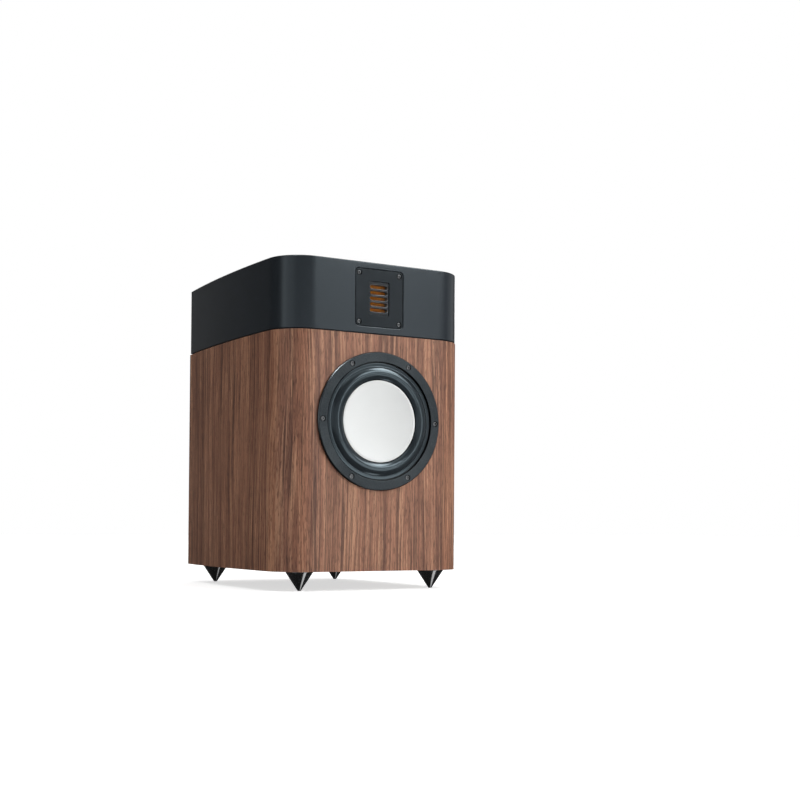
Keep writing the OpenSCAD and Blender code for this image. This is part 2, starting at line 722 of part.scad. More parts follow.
// Film folded into upright pleats
module tweeter_diaphragm() color("orange") {
  width = window_w - 1.2;
  pitch = width / pleat_count;
  zigzag = [for (k = [0:2 * pleat_count])
    [k * pitch / 2 - width / 2, (k % 2) * (pleat_d - film_t + 0.3)]];
  film = concat(zigzag, [for (k = [2 * pleat_count:-1:0]) zigzag[k] + [0, film_t]]);
  in_head() translate([0, head_inset + frame_y + 0.3, tweeter_z - (window_h - 2.4) / 2])
    linear_extrude(window_h - 2.4) polygon(film);
}

module tweeter_magnets() color("silver") tweeter_axis()
  for (side = [-1, 1], i = [0:2])
    translate([side * (body_w / 2 - magnet_bar_w / 2 - 0.2) - magnet_bar_w / 2,
               (i - 1) * (magnet_bar_l + 0.4) - magnet_bar_l / 2, frame_y])
      cube([magnet_bar_w, magnet_bar_l, frame_t]);

module tweeter_back_cup() color([0.15, 0.15, 0.15]) tweeter_axis() difference() {
  translate([0, 0, cup_y]) linear_extrude(cup_l) rounded(body_w, body_h, 3);
  translate([0, 0, cup_y - cut]) linear_extrude(cut + cup_l - cup_wall)
    rounded(body_w - 2 * cup_wall, body_h - 2 * cup_wall, 2);
  tweeter_tabs(panel_fit);
}

// ---------------------------------------------------------------- reflex port
port_wall = 3;
port_split = 24;     // depth where the flare ends and the tube starts
flare_lip = 3;
function socket_out_r() = port_r + port_wall + thread_fit + 2.4;

// Quarter round from the bore out to the mouth, as points of a profile
function mouth_arc(r, from, way, steps) = [for (k = [0:steps])
  [port_r + r * (1 - cos(90 * k / steps)), from + way * r * sin(90 * k / steps)]];

module port_flare() color("black") rear_axis(0, port_z) {
  lip_r = port_r + mouth_r + 7;
  rotate_extrude() polygon(concat(
    mouth_arc(mouth_r, flare_lip - mouth_r, 1, 10),
    [[lip_r - 1.5, flare_lip], [lip_r, flare_lip - 1.5], [lip_r, 0], [socket_out_r(), 0],
     [socket_out_r(), -port_split - 14], [port_r + port_wall + thread_fit, -port_split - 14],
     [port_r + port_wall + thread_fit, -port_split], [port_r, -port_split]]));
}

module port_tube() color([0.1, 0.1, 0.1]) rear_axis(0, port_z) {
  bell = 8;
  inner = mouth_arc(bell, bell - port_l, -1, 8);
  rotate_extrude() polygon(concat(inner,
    [[port_r + bell + port_wall - 1, -port_l],
     [port_r + bell + port_wall - 1, 2 - port_l], [port_r + port_wall, bell + 3 - port_l],
     [port_r + port_wall, -port_split - panel_fit], [port_r, -port_split - panel_fit]]));
}

// ---------------------------------------------------------------- terminals
module terminal_axis() rear_axis(0, terminal_z) children();
module post_axis(side) rear_axis(side * post_pitch / 2, terminal_z)
  translate([0, 0, terminal_t]) children();

module terminal_plate() color([0.1, 0.1, 0.1]) terminal_axis() difference() {
  linear_extrude(terminal_t) rounded(terminal_w, terminal_h, 8);
  four_corners(terminal_w / 2 - 8, terminal_h / 2 - 8) {
    disc(1.7, -cut, terminal_t + cut);
    disc(3, terminal_t - 1.2, terminal_t + cut);
  }
  for (side = [-1, 1]) translate([side * post_pitch / 2, 0]) disc(shaft_r + 0.2, -cut, terminal_t + cut);
}

module terminal_screws() color("black") terminal_axis()
  four_corners(terminal_w / 2 - 8, terminal_h / 2 - 8)
    translate([0, 0, terminal_t + 0.4]) mirror([0, 0, 1])
      screw(plate_screw_r, terminal_t + plate_screw_bite, 2.8, 1.6, 1.2);

module post_shafts() color("gold") for (side = [-1, 1]) post_axis(side) difference() {
  disc(shaft_r, -terminal_t - post_end, cap_stop + cap_l - shaft_sunk);
  disc(socket_r, cap_stop + cap_l - shaft_sunk - socket_l, cap_stop + cap_l + cut);
}

module post_collars() color("black") for (side = [-1, 1]) post_axis(side) {
  tube(shaft_r + thread_fit, cap_r, 0, 2.5);
  tube(shaft_r + thread_fit, cap_r, -terminal_t - 1.5, -terminal_t);
}

module post_nuts() color("gold") for (side = [-1, 1]) post_axis(side) difference() {
  translate([0, 0, -terminal_t - 6]) cylinder(r = shaft_r + 3.4, h = 4.5, $fn = 6);
  disc(shaft_r + thread_fit, -terminal_t - 7, -terminal_t);
}

module post_washer(side) color("gold") post_axis(side)
  tube(shaft_r + thread_fit, cap_r - 0.4, 2.5 + seat_fit, cap_stop - 0.2);

// Cap, open at its end for the plug, with a waist between its grip and its collar
module post_cap(side) color("gold") post_axis(side) {
  bore = shaft_r + thread_fit;
  rotate_extrude() polygon([[bore, cap_stop], [cap_r - 0.6, cap_stop],
    [cap_r, cap_stop + 0.6], [cap_r, cap_stop + 2], [cap_r - 0.8, cap_stop + 2.6],
    [cap_r - 0.8, cap_stop + 3.4], [cap_r, cap_stop + 4], [cap_r, cap_stop + cap_l - 1],
    [cap_r - 1, cap_stop + cap_l], [bore, cap_stop + cap_l]]);
}

// ---------------------------------------------------------------- crossover and wiring
module crossover_board() color("darkgreen") in_cabinet() translate([0, board_y, 0]) {
  translate([-board_w / 2, 0, panel_t + board_lift]) cube([board_w, board_d, board_t]);
  for (x = [-board_w / 2 + 8, board_w / 2 - 8], y = [8, board_d - 8])
    translate([x, y]) disc(4, panel_t, panel_t + board_lift + 0.5);
}

module crossover_coils() color("peru") in_cabinet() translate([0, board_y, board_top]) {
  translate([-coil_x, coil_y]) tube(coil_hole, big_coil_r, 0, big_coil_h);
  translate([coil_x, coil_y]) tube(coil_hole - 2, small_coil_r, 0, small_coil_h);
}

module crossover_capacitors() color("firebrick") in_cabinet() translate([0, board_y, board_top])
  for (row = [0:2]) let (r = capacitor_r - 1.25 * row)
    translate([row == 2 ? 10 : -4, 2 * capacitor_r + row * capacitor_row, r])
      rotate([0, 90, 0]) cylinder(r = r, h = capacitor_l - 3 * row, center = true);

module crossover_resistors() color("white") in_cabinet() translate([0, board_y, board_top])
  for (row = [0, 1])
    translate([-coil_x - resistor_l / 2, coil_y + big_coil_r + 5 + row * 1.4 * resistor_w, 0])
      cube([resistor_l, resistor_w, resistor_w]);

// Three twins: posts to board, board to tweeter, board to woofer
module hookup_leads() color("black") in_cabinet() for (side = [-1, 1]) {
  lead(concat([[side * post_pitch / 2, cabinet_d - post_end - lead_gap, terminal_z]],
    [for (i = [1:len(input_route) - 1]) input_route[i] + side * twin],
    [board_end(input_route[len(input_route) - 1] + side * twin)]));
  lead(concat([board_end(tweeter_route[0] + side * twin)],
    [for (point = tweeter_route) point + side * twin],
    [[side * tweeter_fork[0], tweeter_fork[1], tweeter_fork[2]],
     [side * tweeter_tab_x, tweeter_tab_end + 10, head_z + tweeter_z],
     [side * tweeter_tab_x, tweeter_tab_end + lead_gap, head_z + tweeter_z]]));
  lead(concat([board_end(woofer_route[0] + side * woofer_twin)],
    [for (point = woofer_route) point + side * woofer_twin],
    [[bell_r(woofer_tab_y) + tab_out + lead_gap, woofer_tab_y,
      bass_h - woofer_z + side * woofer_tab_gap]]));
}

function board_end(p) = [p[0], p[1], board_top + lead_gap];

// ---------------------------------------------------------------- assembly
cabinet_wrap();
walnut_veneer();
rear_panel();
bottom_panel();
bass_top_panel();
ring_brace();
damping_foam();
head_shell();
head_base();
isolation_gasket();
joining_bolts();
joining_inserts();
locating_dowels();
cable_grommet();
spike_inserts();
tweeter_faceplate();
tweeter_front_pole();
tweeter_diaphragm();
diaphragm_frame();
tweeter_magnets();
tweeter_rear_pole();
tweeter_back_cup();
tweeter_gasket();
tweeter_screws();
woofer_trim_ring();
woofer_basket();
woofer_gasket();
woofer_screws();
woofer_top_plate();
woofer_magnet();
woofer_yoke();
copper_sleeve();
magnet_boot();
woofer_surround();
woofer_spider();
woofer_cone();
coil_former();
voice_coil();
tinsel_leads();
driver_tabs();
port_flare();
port_tube();
terminal_plate();
terminal_screws();
post_shafts();
post_collars();
post_nuts();
post_washer(1);  // post_washer_left
post_cap(1);  // post_cap_left
post_washer(-1);  // post_washer_right
post_cap(-1);  // post_cap_right
crossover_board();
crossover_coils();
crossover_capacitors();
crossover_resistors();
hookup_leads();
spike(spike_spots[0]);  // spike_front_left
spike(spike_spots[1]);  // spike_front_right
spike(spike_spots[2]);  // spike_rear_left
spike(spike_spots[3]);  // spike_rear_right
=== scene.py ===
# %% [markdown]
# # A bookshelf speaker, dressed in Blender
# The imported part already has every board, driver, screw and wire at its real size. This script
# gives it its looks. The curved pieces that show are worked out again as smooth surfaces with
# numpy, the hidden ones keep their plain solids, and every piece gets a finish made of nodes.
# All lengths here are millimetres in the row frame: x to the right seen from the front, y going
# back into the cabinet, z up from the floor. They turn into metres where a mesh is made.

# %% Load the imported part
import math

import bmesh
import bpy
import numpy as np
from mathutils import Matrix, Vector
from mathutils.geometry import delaunay_2d_cdt


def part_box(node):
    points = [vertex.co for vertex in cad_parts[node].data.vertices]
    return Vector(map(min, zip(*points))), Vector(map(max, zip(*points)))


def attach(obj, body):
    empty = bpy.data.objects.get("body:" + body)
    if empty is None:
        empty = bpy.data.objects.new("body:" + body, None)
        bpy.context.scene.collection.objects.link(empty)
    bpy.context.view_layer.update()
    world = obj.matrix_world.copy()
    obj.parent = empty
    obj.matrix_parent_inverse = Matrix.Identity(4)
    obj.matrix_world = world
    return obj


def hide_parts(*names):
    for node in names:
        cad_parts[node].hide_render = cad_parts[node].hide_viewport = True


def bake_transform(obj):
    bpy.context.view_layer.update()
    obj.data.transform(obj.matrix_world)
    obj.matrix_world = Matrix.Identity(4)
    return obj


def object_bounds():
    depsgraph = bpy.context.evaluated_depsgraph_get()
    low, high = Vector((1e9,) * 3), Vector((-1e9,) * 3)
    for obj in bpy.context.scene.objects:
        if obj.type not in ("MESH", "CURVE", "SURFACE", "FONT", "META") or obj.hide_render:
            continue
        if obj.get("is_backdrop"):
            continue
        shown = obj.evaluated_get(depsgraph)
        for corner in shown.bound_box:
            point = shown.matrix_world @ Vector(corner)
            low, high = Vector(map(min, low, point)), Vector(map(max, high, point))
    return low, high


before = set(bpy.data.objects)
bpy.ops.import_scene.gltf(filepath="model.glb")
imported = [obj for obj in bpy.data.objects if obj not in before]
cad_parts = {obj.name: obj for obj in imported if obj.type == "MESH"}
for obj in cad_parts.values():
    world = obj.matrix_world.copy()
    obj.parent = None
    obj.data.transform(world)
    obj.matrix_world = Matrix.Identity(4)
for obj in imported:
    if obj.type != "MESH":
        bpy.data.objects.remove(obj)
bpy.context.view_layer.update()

# %% Read the main places from the solids
TAU = 2 * math.pi


def box(node):
    """Lowest and highest corner of a node's box, in millimetres."""
    low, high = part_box(node)
    return 1000 * np.array(low), 1000 * np.array(high)


veneer_low, veneer_high = box("walnut_veneer")
head_low, head_high = box("head_shell")
ring_low, ring_high = box("woofer_trim_ring")
plate_low, plate_high = box("tweeter_faceplate")
face_y = veneer_low[1]                          # front of the baffle
rear_y = veneer_high[1]
head_y = head_low[1]                            # front of the head, a little further in
woofer_z = (ring_low[2] + ring_high[2]) / 2
tweeter_z = (plate_low[2] + plate_high[2]) / 2
plate_w, plate_h = plate_high[0] - plate_low[0], plate_high[2] - plate_low[2]
print("baffle at y", round(face_y, 2), "woofer axis at z", round(woofer_z, 1))

# %% [markdown]
# ## Surfaces from arrays
# Almost everything on a loudspeaker is either turned on a lathe, cut from a plate or bent round
# an outline. Each of these is a grid of points: one index runs along a profile and the other
# round a path. Neighbours in the grid are joined with four-sided faces, so one line of array
# code makes a whole surface, and a change of profile never means moving points by hand.

# %% Grids, lathes and profiles
def grid(points, close_rows=False, close_cols=False):
    """Points in rows and columns become vertices; each is joined to the next one along its row
    and along its column. Closing wraps the last row or column round to the first."""
    rows, cols = points.shape[:2]
    ids = np.arange(rows * cols).reshape(rows, cols)
    if close_rows:
        ids = np.vstack([ids, ids[:1]])
    if close_cols:
        ids = np.hstack([ids, ids[:, :1]])
    quads = np.stack([ids[:-1, :-1], ids[:-1, 1:], ids[1:, 1:], ids[1:, :-1]], -1)
    return points.reshape(-1, 3), quads.reshape(-1, 4).tolist()


def rounded(corners, radius=0.3, steps=4, closed=False):
    """A profile with its corners rounded. At each corner the arc starts the tangent length
    before it, radius over the tangent of half the corner's angle, and ends as far behind it.
    A number of its own may be given as the third value of a corner."""
    pts = [np.array(c[:2], float) for c in corners]
    out = []
    for i, p in enumerate(pts):
        r = corners[i][2] if len(corners[i]) > 2 else radius
        if r <= 0 or (not closed and i in (0, len(pts) - 1)):
            out.append(p)
            continue
        a, b = pts[i - 1] - p, pts[(i + 1) % len(pts)] - p
        la, lb = np.hypot(*a), np.hypot(*b)
        a, b = a / la, b / lb
        half = math.acos(np.clip(a @ b, -1, 1)) / 2
        if half > 1.55:
            out.append(p)
            continue
        reach = min(r / math.tan(half), 0.49 * la, 0.49 * lb)
        r = reach * math.tan(half)
        middle = (a + b) / np.hypot(*(a + b)) * r / math.sin(half) + p
        start, end = p + a * reach - middle, p + b * reach - middle
        t = np.linspace(0, 1, steps + 1)[:, None]
        turn = math.pi - 2 * half
        arc = (np.sin((1 - t) * turn) * start + np.sin(t * turn) * end) / math.sin(turn)
        out.extend(middle + arc)
    return np.array(out)


AXES = {   # for each way a part may face: its across, its up and the way its depth grows
    "front": np.array([[1, 0, 0], [0, 0, 1], [0, 1, 0]], float),
    "rear": np.array([[-1, 0, 0], [0, 0, 1], [0, 1, 0]], float),
    "inward": np.array([[-1, 0, 0], [0, 0, 1], [0, -1, 0]], float),
    "down": np.array([[1, 0, 0], [0, 1, 0], [0, 0, -1]], float),
}


def place(local, centre, facing="front"):
    """Local points across, up and along an axis, put at a centre with the axes of that facing."""
    return np.asarray(centre, float) + local @ AXES[facing]


def turned(profile, centre, facing="front", segments=96, wave=None, closed=False):
    """Surface of revolution: a profile of radius and depth carried round the axis. Wave may
    give a factor for the radius at each row and angle."""
    profile = np.asarray(profile, float)
    angle = np.arange(segments) * TAU / segments
    radius = profile[:, :1] * np.ones_like(angle)
    if wave is not None:
        radius = radius * wave(profile, angle)
    local = np.stack([radius * np.cos(angle), radius * np.sin(angle),
                      profile[:, 1:2] * np.ones_like(angle)], -1)
    return grid(place(local, centre, facing), closed, True)


square = [(0, 0), (1, 0), (1, 1), (0, 1)]
print("a rounded square has", len(rounded(square, closed=True)), "points")

# %% [markdown]
# ## Flat faces with holes
# A faceplate is flat with round and oblong holes, which a plain grid can't follow. Its outline
# and its holes are loops, each carried along its own edge profile to give the rounded edges and
# the walls, and only the flat skin between the loops is filled with triangles. The loops keep
# as many points as their curves need, and the skin costs very little.

# %% Loops, fills and milled plates
def circle_loop(radius, points=48, across=0.0, up=0.0):
    """Points on a circle, anticlockwise."""
    angle = np.arange(points) * TAU / points
    return np.stack([across + radius * np.cos(angle), up + radius * np.sin(angle)], -1)


def box_loop(width, height, radius, points=10):
    """A rectangle with rounded corners: four quarter circles, joined by their straight sides."""
    angle = np.linspace(0, TAU / 4, points)[None, :] + np.arange(4)[:, None] * TAU / 4
    sign = np.array([[1, 1], [-1, 1], [-1, -1], [1, -1]])[:, None, :]
    arc = radius * np.stack([np.cos(angle), np.sin(angle)], -1)
    corner = sign * np.array([width / 2 - radius, height / 2 - radius])
    return (corner + arc).reshape(-1, 2)


def inside(points, loop):
    """Even-odd test: a point is inside where a ray to its right crosses the loop an odd number
    of times."""
    x, y = points[:, None, 0], points[:, None, 1]
    a, b = loop, np.roll(loop, -1, axis=0)
    straddles = (a[:, 1] > y) != (b[:, 1] > y)
    rise = np.where(b[:, 1] == a[:, 1], 1, b[:, 1] - a[:, 1])
    crossing = (b[:, 0] - a[:, 0]) * (y - a[:, 1]) / rise + a[:, 0]
    return (straddles & (x < crossing)).sum(1) % 2 == 1


def skin(outline, holes=()):
    """Triangles that fill the flat region inside the outline and outside the holes."""
    loops = [outline, *holes]
    flat = np.concatenate(loops)
    starts = np.cumsum([0] + [len(loop) for loop in loops])
    edges = [(int(start + k), int(start + (k + 1) % len(loop)))
             for start, loop in zip(starts, loops) for k in range(len(loop))]
    verts, _, faces, *_ = delaunay_2d_cdt([Vector(p) for p in flat.tolist()], edges, [], 0, 1e-6)
    verts, faces = np.array([tuple(v) for v in verts]), np.array(faces)
    middle = verts[faces].mean(1)
    keep = inside(middle, outline)
    for hole in holes:
        keep &= ~inside(middle, hole)
    a, b, c = (verts[faces[:, k]] for k in range(3))
    turn = (b - a)[:, 0] * (c - a)[:, 1] - (b - a)[:, 1] * (c - a)[:, 0]
    faces = np.where(turn[:, None] < 0, faces[:, ::-1], faces)
    return verts, faces[keep]


def at_depth(flat, depth):
    """Flat points with a third value, the depth."""
    return np.column_stack([flat, np.full(len(flat), float(depth))])


def walls(rows, centre, facing="front"):
    """Loops at rising depths, joined into a wall. A last row with one point closes it."""
    pole = None
    if len(rows[-1][0]) == 1:
        *rows, pole = rows
    points = np.stack([at_depth(loop, depth) for loop, depth in rows])
    verts, faces = grid(place(points, centre, facing), False, True)
    if pole is not None:
        tip = place(at_depth(*pole), centre, facing)
        n, last = points.shape[1], (len(points) - 1) * points.shape[1]
        faces += [[last + k, last + (k + 1) % n, len(verts)] for k in range(n)]
        verts = np.vstack([verts, tip])
    return verts, faces


def filled(outline, holes, depth, centre, facing="front"):
    """The flat skin between an outline and its holes, lying at a depth."""
    flat, faces = skin(outline, holes)
    return place(at_depth(flat, depth), centre, facing), faces.tolist()


def milled(outer, holes, centre, facing="front"):
    """A plate: its outer loops and each hole's loops run from front to back, and the skins
    between their first rows and between their last ones are filled."""
    parts = [walls(rows, centre, facing) for rows in [outer, *holes]]
    for row in (0, -1):
        parts.append(filled(outer[row][0], [hole[row][0] for hole in holes], outer[row][1],
                            centre, facing))
    return parts


def edge_rows(loop_of, edge, front, back, steps=3):
    """Rows of a plate's edge or a hole's: loop_of(offset) gives the loop moved into the plate by
    the offset, and the front corner is a quarter circle of the edge's radius."""
    t = np.linspace(0, math.pi / 2, steps + 1)
    rows = [(loop_of(edge * (1 - math.sin(a))), front + edge * (1 - math.cos(a))) for a in t]
    return rows + [(loop_of(0), back)]


print("a plate with one hole:", len(skin(box_loop(40, 30, 3), [circle_loop(5)])[1]), "triangles")

# %% [markdown]
# ## From arrays to pieces
# One function turns the arrays into a mesh: it joins the parts, welds the seams and poles, and
# turns every face outwards. Normals weighted by face area keep large flats flat right up to
# their small rounded edges.

# %% Make a piece
WELD_M = 2e-6                                   # points nearer than this are one


def welded_mesh(name, parts, uv, outwards):
    """The parts as one mesh in metres, with its doubles merged. Its faces are turned outwards,
    but for a sheet, which gets its wall later and keeps the way it was made."""
    offset, verts, faces = 0, [], []
    for v, f in parts:
        verts.append(v)
        faces.extend([[i + offset for i in face] for face in f])
        offset += len(v)
    verts = np.concatenate(verts) / 1000
    mesh = bpy.data.meshes.new(name)
    mesh.from_pydata(verts.tolist(), [], faces)
    if uv is not None:
        corner = np.zeros(len(mesh.loops), np.int32)
        mesh.loops.foreach_get("vertex_index", corner)
        mesh.uv_layers.new(name="surface").data.foreach_set(
            "uv", np.asarray(uv, np.float32)[corner].ravel())
    shape = bmesh.new()
    shape.from_mesh(mesh)
    bmesh.ops.remove_doubles(shape, verts=shape.verts, dist=WELD_M)
    if outwards:
        bmesh.ops.recalc_face_normals(shape, faces=shape.faces)
    shape.to_mesh(mesh)
    shape.free()
    return mesh


def piece(name, parts, finish, body="cabinet", stands_for=(), uv=None,
          sharp=40, thickness=None, bevel=None, ride=True):
    mesh = welded_mesh(name, parts, uv, outwards=thickness is None)
    mesh.shade_smooth()
    mesh.set_sharp_from_angle(angle=math.radians(sharp))
    mesh.materials.append(finish)
    thing = bpy.data.objects.new(name, mesh)
    bpy.context.scene.collection.objects.link(thing)
    if thickness is not None:
        wall = thing.modifiers.new("wall", "SOLIDIFY")
        wall.thickness, wall.offset = thickness / 1000, -1
    if bevel is not None:
        soft = thing.modifiers.new("soft_edges", "BEVEL")
        soft.width, soft.segments = bevel / 1000, 2
        soft.limit_method, soft.angle_limit = "ANGLE", math.radians(60)
    flat = thing.modifiers.new("flat_faces", "WEIGHTED_NORMAL")
    flat.keep_sharp = True
    if ride:
        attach(thing, body)
    if stands_for:
        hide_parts(*stands_for)
    print(f"{name}: {len(mesh.polygons)} faces")
    return thing


# %% [markdown]
# ## Shared effects as node groups
# A finish is never one flat colour. Two effects turn up in most of them: an even fine grain, as
# on moulded plastic, powder coat or rubber, and the slow drift of tone over a sprayed or cast
# surface, with smudges in it. Each is a node group with its own inputs, so a material only says
# how large it wants the effect and how strongly it mixes it in.

# %% Helpers for node trees
def new_group(name, inputs, outputs):
    """A shader node group with named sockets. Inputs are name, type and default."""
    group = bpy.data.node_groups.new(name, "ShaderNodeTree")
    for label, kind, default in inputs:
        socket = group.interface.new_socket(name=label, in_out="INPUT", socket_type=kind)
        if default is not None:
            socket.default_value = default
    for label, kind in outputs:
        group.interface.new_socket(name=label, in_out="OUTPUT", socket_type=kind)
    return group, group.nodes.new("NodeGroupInput"), group.nodes.new("NodeGroupOutput")


def feed(tree, item, **values):
    """Feeds a node's inputs, by name or by number as i0, i1: a socket is linked to the input,
    anything else is set as its value."""
    for key, value in values.items():
        number = key[1:] if key[0] == "i" else ""
        socket = item.inputs[int(number) if number.isdigit() else key.replace("_", " ")]
        if isinstance(value, bpy.types.NodeSocket):
            tree.links.new(value, socket)
        else:
            socket.default_value = value
    return item


def add(tree, kind, settings=None, **values):
    """One node. Settings are its own properties; values feed its inputs."""
    item = tree.nodes.new("ShaderNode" + kind)
    for key, value in (settings or {}).items():
        setattr(item, key, value)
    return feed(tree, item, **values)


def calc(tree, operation, a, b=0.0, c=0.0):
    """A sum, product or other operation on plain numbers."""
    return add(tree, "Math", {"operation": operation}, i0=a, i1=b, i2=c).outputs[0]


def weighted(tree, a, share, b):
    """A times its share, plus b times the rest."""
    return calc(tree, "ADD", calc(tree, "MULTIPLY", a, share),
                calc(tree, "MULTIPLY", b, 1 - share))


def scaled(tree, value, start=0.0, end=1.0, low=0.0, high=1.0):
    """A value that runs from start to end, carried evenly onto low to high and held there."""
    return add(tree, "MapRange", Value=value, i1=start, i2=end, i3=low, i4=high).outputs[0]


def mixed(tree, factor, a, b):
    """A colour between a and b, at a factor from 0 to 1."""
    a, b = (c if isinstance(c, bpy.types.NodeSocket) else (*c, 1) for c in (a, b))
    return add(tree, "Mix", {"data_type": "RGBA"}, i0=factor, i6=a, i7=b).outputs[2]


def ramp(tree, value, stops):
    """A value from 0 to 1 turned into the grey or colour of the stops, in rising order."""
    item = add(tree, "ValToRGB", Fac=value)
    marks = item.color_ramp.elements
    marks[0].position, marks[1].position = stops[0][0], stops[-1][0]
    inner = [marks.new(position) for position, _ in stops[1:-1]]
    for mark, (_, level) in zip([marks[0], *inner, marks[len(marks) - 1]], stops):
        mark.color = (*level, 1) if hasattr(level, "__len__") else (level, level, level, 1)
    return item.outputs[0]


# %% Fine grain and slow drift
def noise_group(name, size_name, size_mm, outputs):
    """A group with a place and a size in millimetres, handed back with its noise's scale, which
    is 1000 over the size."""
    tree, gin, gout = new_group(
        name, [("Place", "NodeSocketVector", None), (size_name, "NodeSocketFloat", size_mm)],
        [(label, "NodeSocketFloat") for label in outputs])
    return tree, gin.outputs["Place"], calc(tree, "DIVIDE", 1000.0, gin.outputs[size_name]), gout


fine_grain, where, per_metre, gout = noise_group("fine_grain", "Grain mm", 0.4, ["Grain"])
speckle = add(fine_grain, "TexNoise", Vector=where, Scale=per_metre, Detail=3.0, Roughness=0.6)
feed(fine_grain, gout, Grain=speckle.outputs[0])

drift, where, per_metre, gout = noise_group("slow_drift", "Size mm", 60.0, ["Drift", "Smudge"])
cloud = add(drift, "TexNoise", Vector=where, Scale=per_metre, Detail=2.0)
patch = add(drift, "TexNoise", Vector=where, Scale=calc(drift, "MULTIPLY", per_metre, 3.1),
            Detail=5.0, Roughness=0.65)
feed(drift, gout, Drift=cloud.outputs[0],
     Smudge=ramp(drift, patch.outputs[0], [(0.45, 0.0), (0.75, 1.0)]))
print("groups:", [g.name for g in bpy.data.node_groups])

# %% [markdown]
# ## Plain finishes with life in them
# Plastic, rubber, coated castings and plated steel differ in colour, roughness and metal, but
# they share a make-up: a base colour that drifts a little, a roughness that the same drift and
# some smudges break up, and a fine relief that catches the light. One recipe with those values
# covers them, and the wood, the film and the cone get recipes of their own further on.

# %% A recipe for coated, moulded and plated surfaces
def place_of(tree, kind="Object"):
    """Object coordinates, or the piece's own UV map."""
    return add(tree, "TexCoord").outputs[kind]


def grouped(tree, group, **values):
    """A node group placed in a material; its outputs are looked up by name."""
    return add(tree, "Group", {"node_tree": group}, **values).outputs


def new_finish(name):
    """A new material, with its node tree and its Principled shader."""
    finish = bpy.data.materials.new(name)
    finish.use_nodes = True
    return finish, finish.node_tree, finish.node_tree.nodes["Principled BSDF"]


def bump(tree, shader, height, depth_mm, strength=1.0):
    """Relief of a given depth, fed to the shader's normal."""
    item = add(tree, "Bump", Strength=strength, Distance=depth_mm / 1000, Height=height)
    feed(tree, shader, Normal=item.outputs[0])


def coated(name, dark, light, rough, metal=0.0, grain=0.4, relief=0.02, spread=60.0, coat=0.0,
           coat_rough=0.1, mirror=0.5, tint=(1, 1, 1)):
    """Colour drifts from dark to light, roughness runs over its two values, and the fine grain
    gives the relief, all in the object's own space."""
    finish, tree, shader = new_finish(name)
    where = place_of(tree)
    slow = grouped(tree, drift, Place=where, Size_mm=spread)
    grains = grouped(tree, fine_grain, Place=where, Grain_mm=grain)["Grain"]
    tone = scaled(tree, weighted(tree, slow["Drift"], 0.6, grains), 0.35, 0.65)
    worn = scaled(tree, weighted(tree, slow["Smudge"], 0.5, grains), low=rough[0], high=rough[1])
    feed(tree, shader, Base_Color=mixed(tree, tone, dark, light), Roughness=worn,
         Metallic=metal, Coat_Weight=coat, Coat_Roughness=coat_rough,
         Specular_IOR_Level=mirror, Specular_Tint=(*tint, 1))
    bump(tree, shader, grains, relief)
    return finish


BLUISH = (0.80, 0.93, 1.0)
black_lacquer = coated("black_lacquer", (0.016, 0.020, 0.024), (0.021, 0.025, 0.031),
                       (0.27, 0.30), grain=0.8, relief=0.0015, spread=120, mirror=0.28,
                       tint=BLUISH)
ring_coat = coated("ring_coat", (0.008, 0.011, 0.014), (0.044, 0.051, 0.056), (0.42, 0.6),
                   grain=1.6, relief=0.22, mirror=0.22, tint=BLUISH)
roll_rubber = coated("roll_rubber", (0.016, 0.020, 0.024), (0.022, 0.027, 0.031), (0.17, 0.19),
                     grain=0.7, relief=0.0003, spread=40, mirror=0.36, tint=(0.7, 0.9, 1.0))
rubber = coated("matt_rubber", (0.012, 0.012, 0.013), (0.020, 0.020, 0.021), (0.65, 0.8),
                grain=0.5, relief=0.03)
anodised = coated("anodised_plate", (0.014, 0.017, 0.020), (0.024, 0.028, 0.032), (0.30, 0.4),
                  grain=0.6, relief=0.008, mirror=0.08, tint=BLUISH)
nickel = coated("nickel_plate", (0.13, 0.14, 0.15), (0.22, 0.23, 0.24), (0.28, 0.4), metal=0.8,
                grain=0.4, relief=0.006, spread=20)
black_screw = coated("black_oxide", (0.052, 0.054, 0.057), (0.072, 0.075, 0.078), (0.2, 0.28),
                     metal=1.0, grain=0.3, relief=0.001, spread=10)
spike_gloss = coated("spike_gloss", (0.005, 0.006, 0.007), (0.010, 0.011, 0.012), (0.16, 0.24),
                     grain=0.5, relief=0.002, spread=20, coat=1.0, coat_rough=0.06)
moulded = coated("moulded_black", (0.014, 0.014, 0.015), (0.022, 0.022, 0.023), (0.45, 0.58),
                 grain=0.6, relief=0.04)
moulded_red = coated("moulded_red", (0.30, 0.012, 0.01), (0.38, 0.02, 0.015), (0.35, 0.45),
                     grain=0.6, relief=0.02)
gold = coated("gold_plate", (0.68, 0.42, 0.13), (0.80, 0.53, 0.19), (0.16, 0.28), metal=1.0,
              grain=0.5, relief=0.004, spread=12)
zinc = coated("bright_zinc", (0.50, 0.51, 0.53), (0.62, 0.63, 0.64), (0.25, 0.42), metal=1.0,
              grain=0.8, relief=0.01, spread=20)
brass = coated("plain_brass", (0.50, 0.33, 0.10), (0.60, 0.42, 0.16), (0.25, 0.4), metal=1.0,
               grain=0.4, relief=0.01, spread=15)
copper = coated("copper", (0.52, 0.20, 0.10), (0.68, 0.30, 0.16), (0.25, 0.4), metal=1.0,
                grain=0.3, relief=0.02, spread=10)
aluminium = coated("thin_aluminium", (0.62, 0.63, 0.64), (0.75, 0.76, 0.77), (0.3, 0.42),
                   metal=1.0, grain=0.3, relief=0.006, spread=20)
cast_black = coated("cast_black", (0.018, 0.018, 0.020), (0.03, 0.03, 0.032), (0.5, 0.66),
                    metal=0.2, grain=0.9, relief=0.06)
ferrite = coated("ferrite", (0.035, 0.035, 0.038), (0.06, 0.06, 0.064), (0.55, 0.75),
                 grain=0.7, relief=0.05)
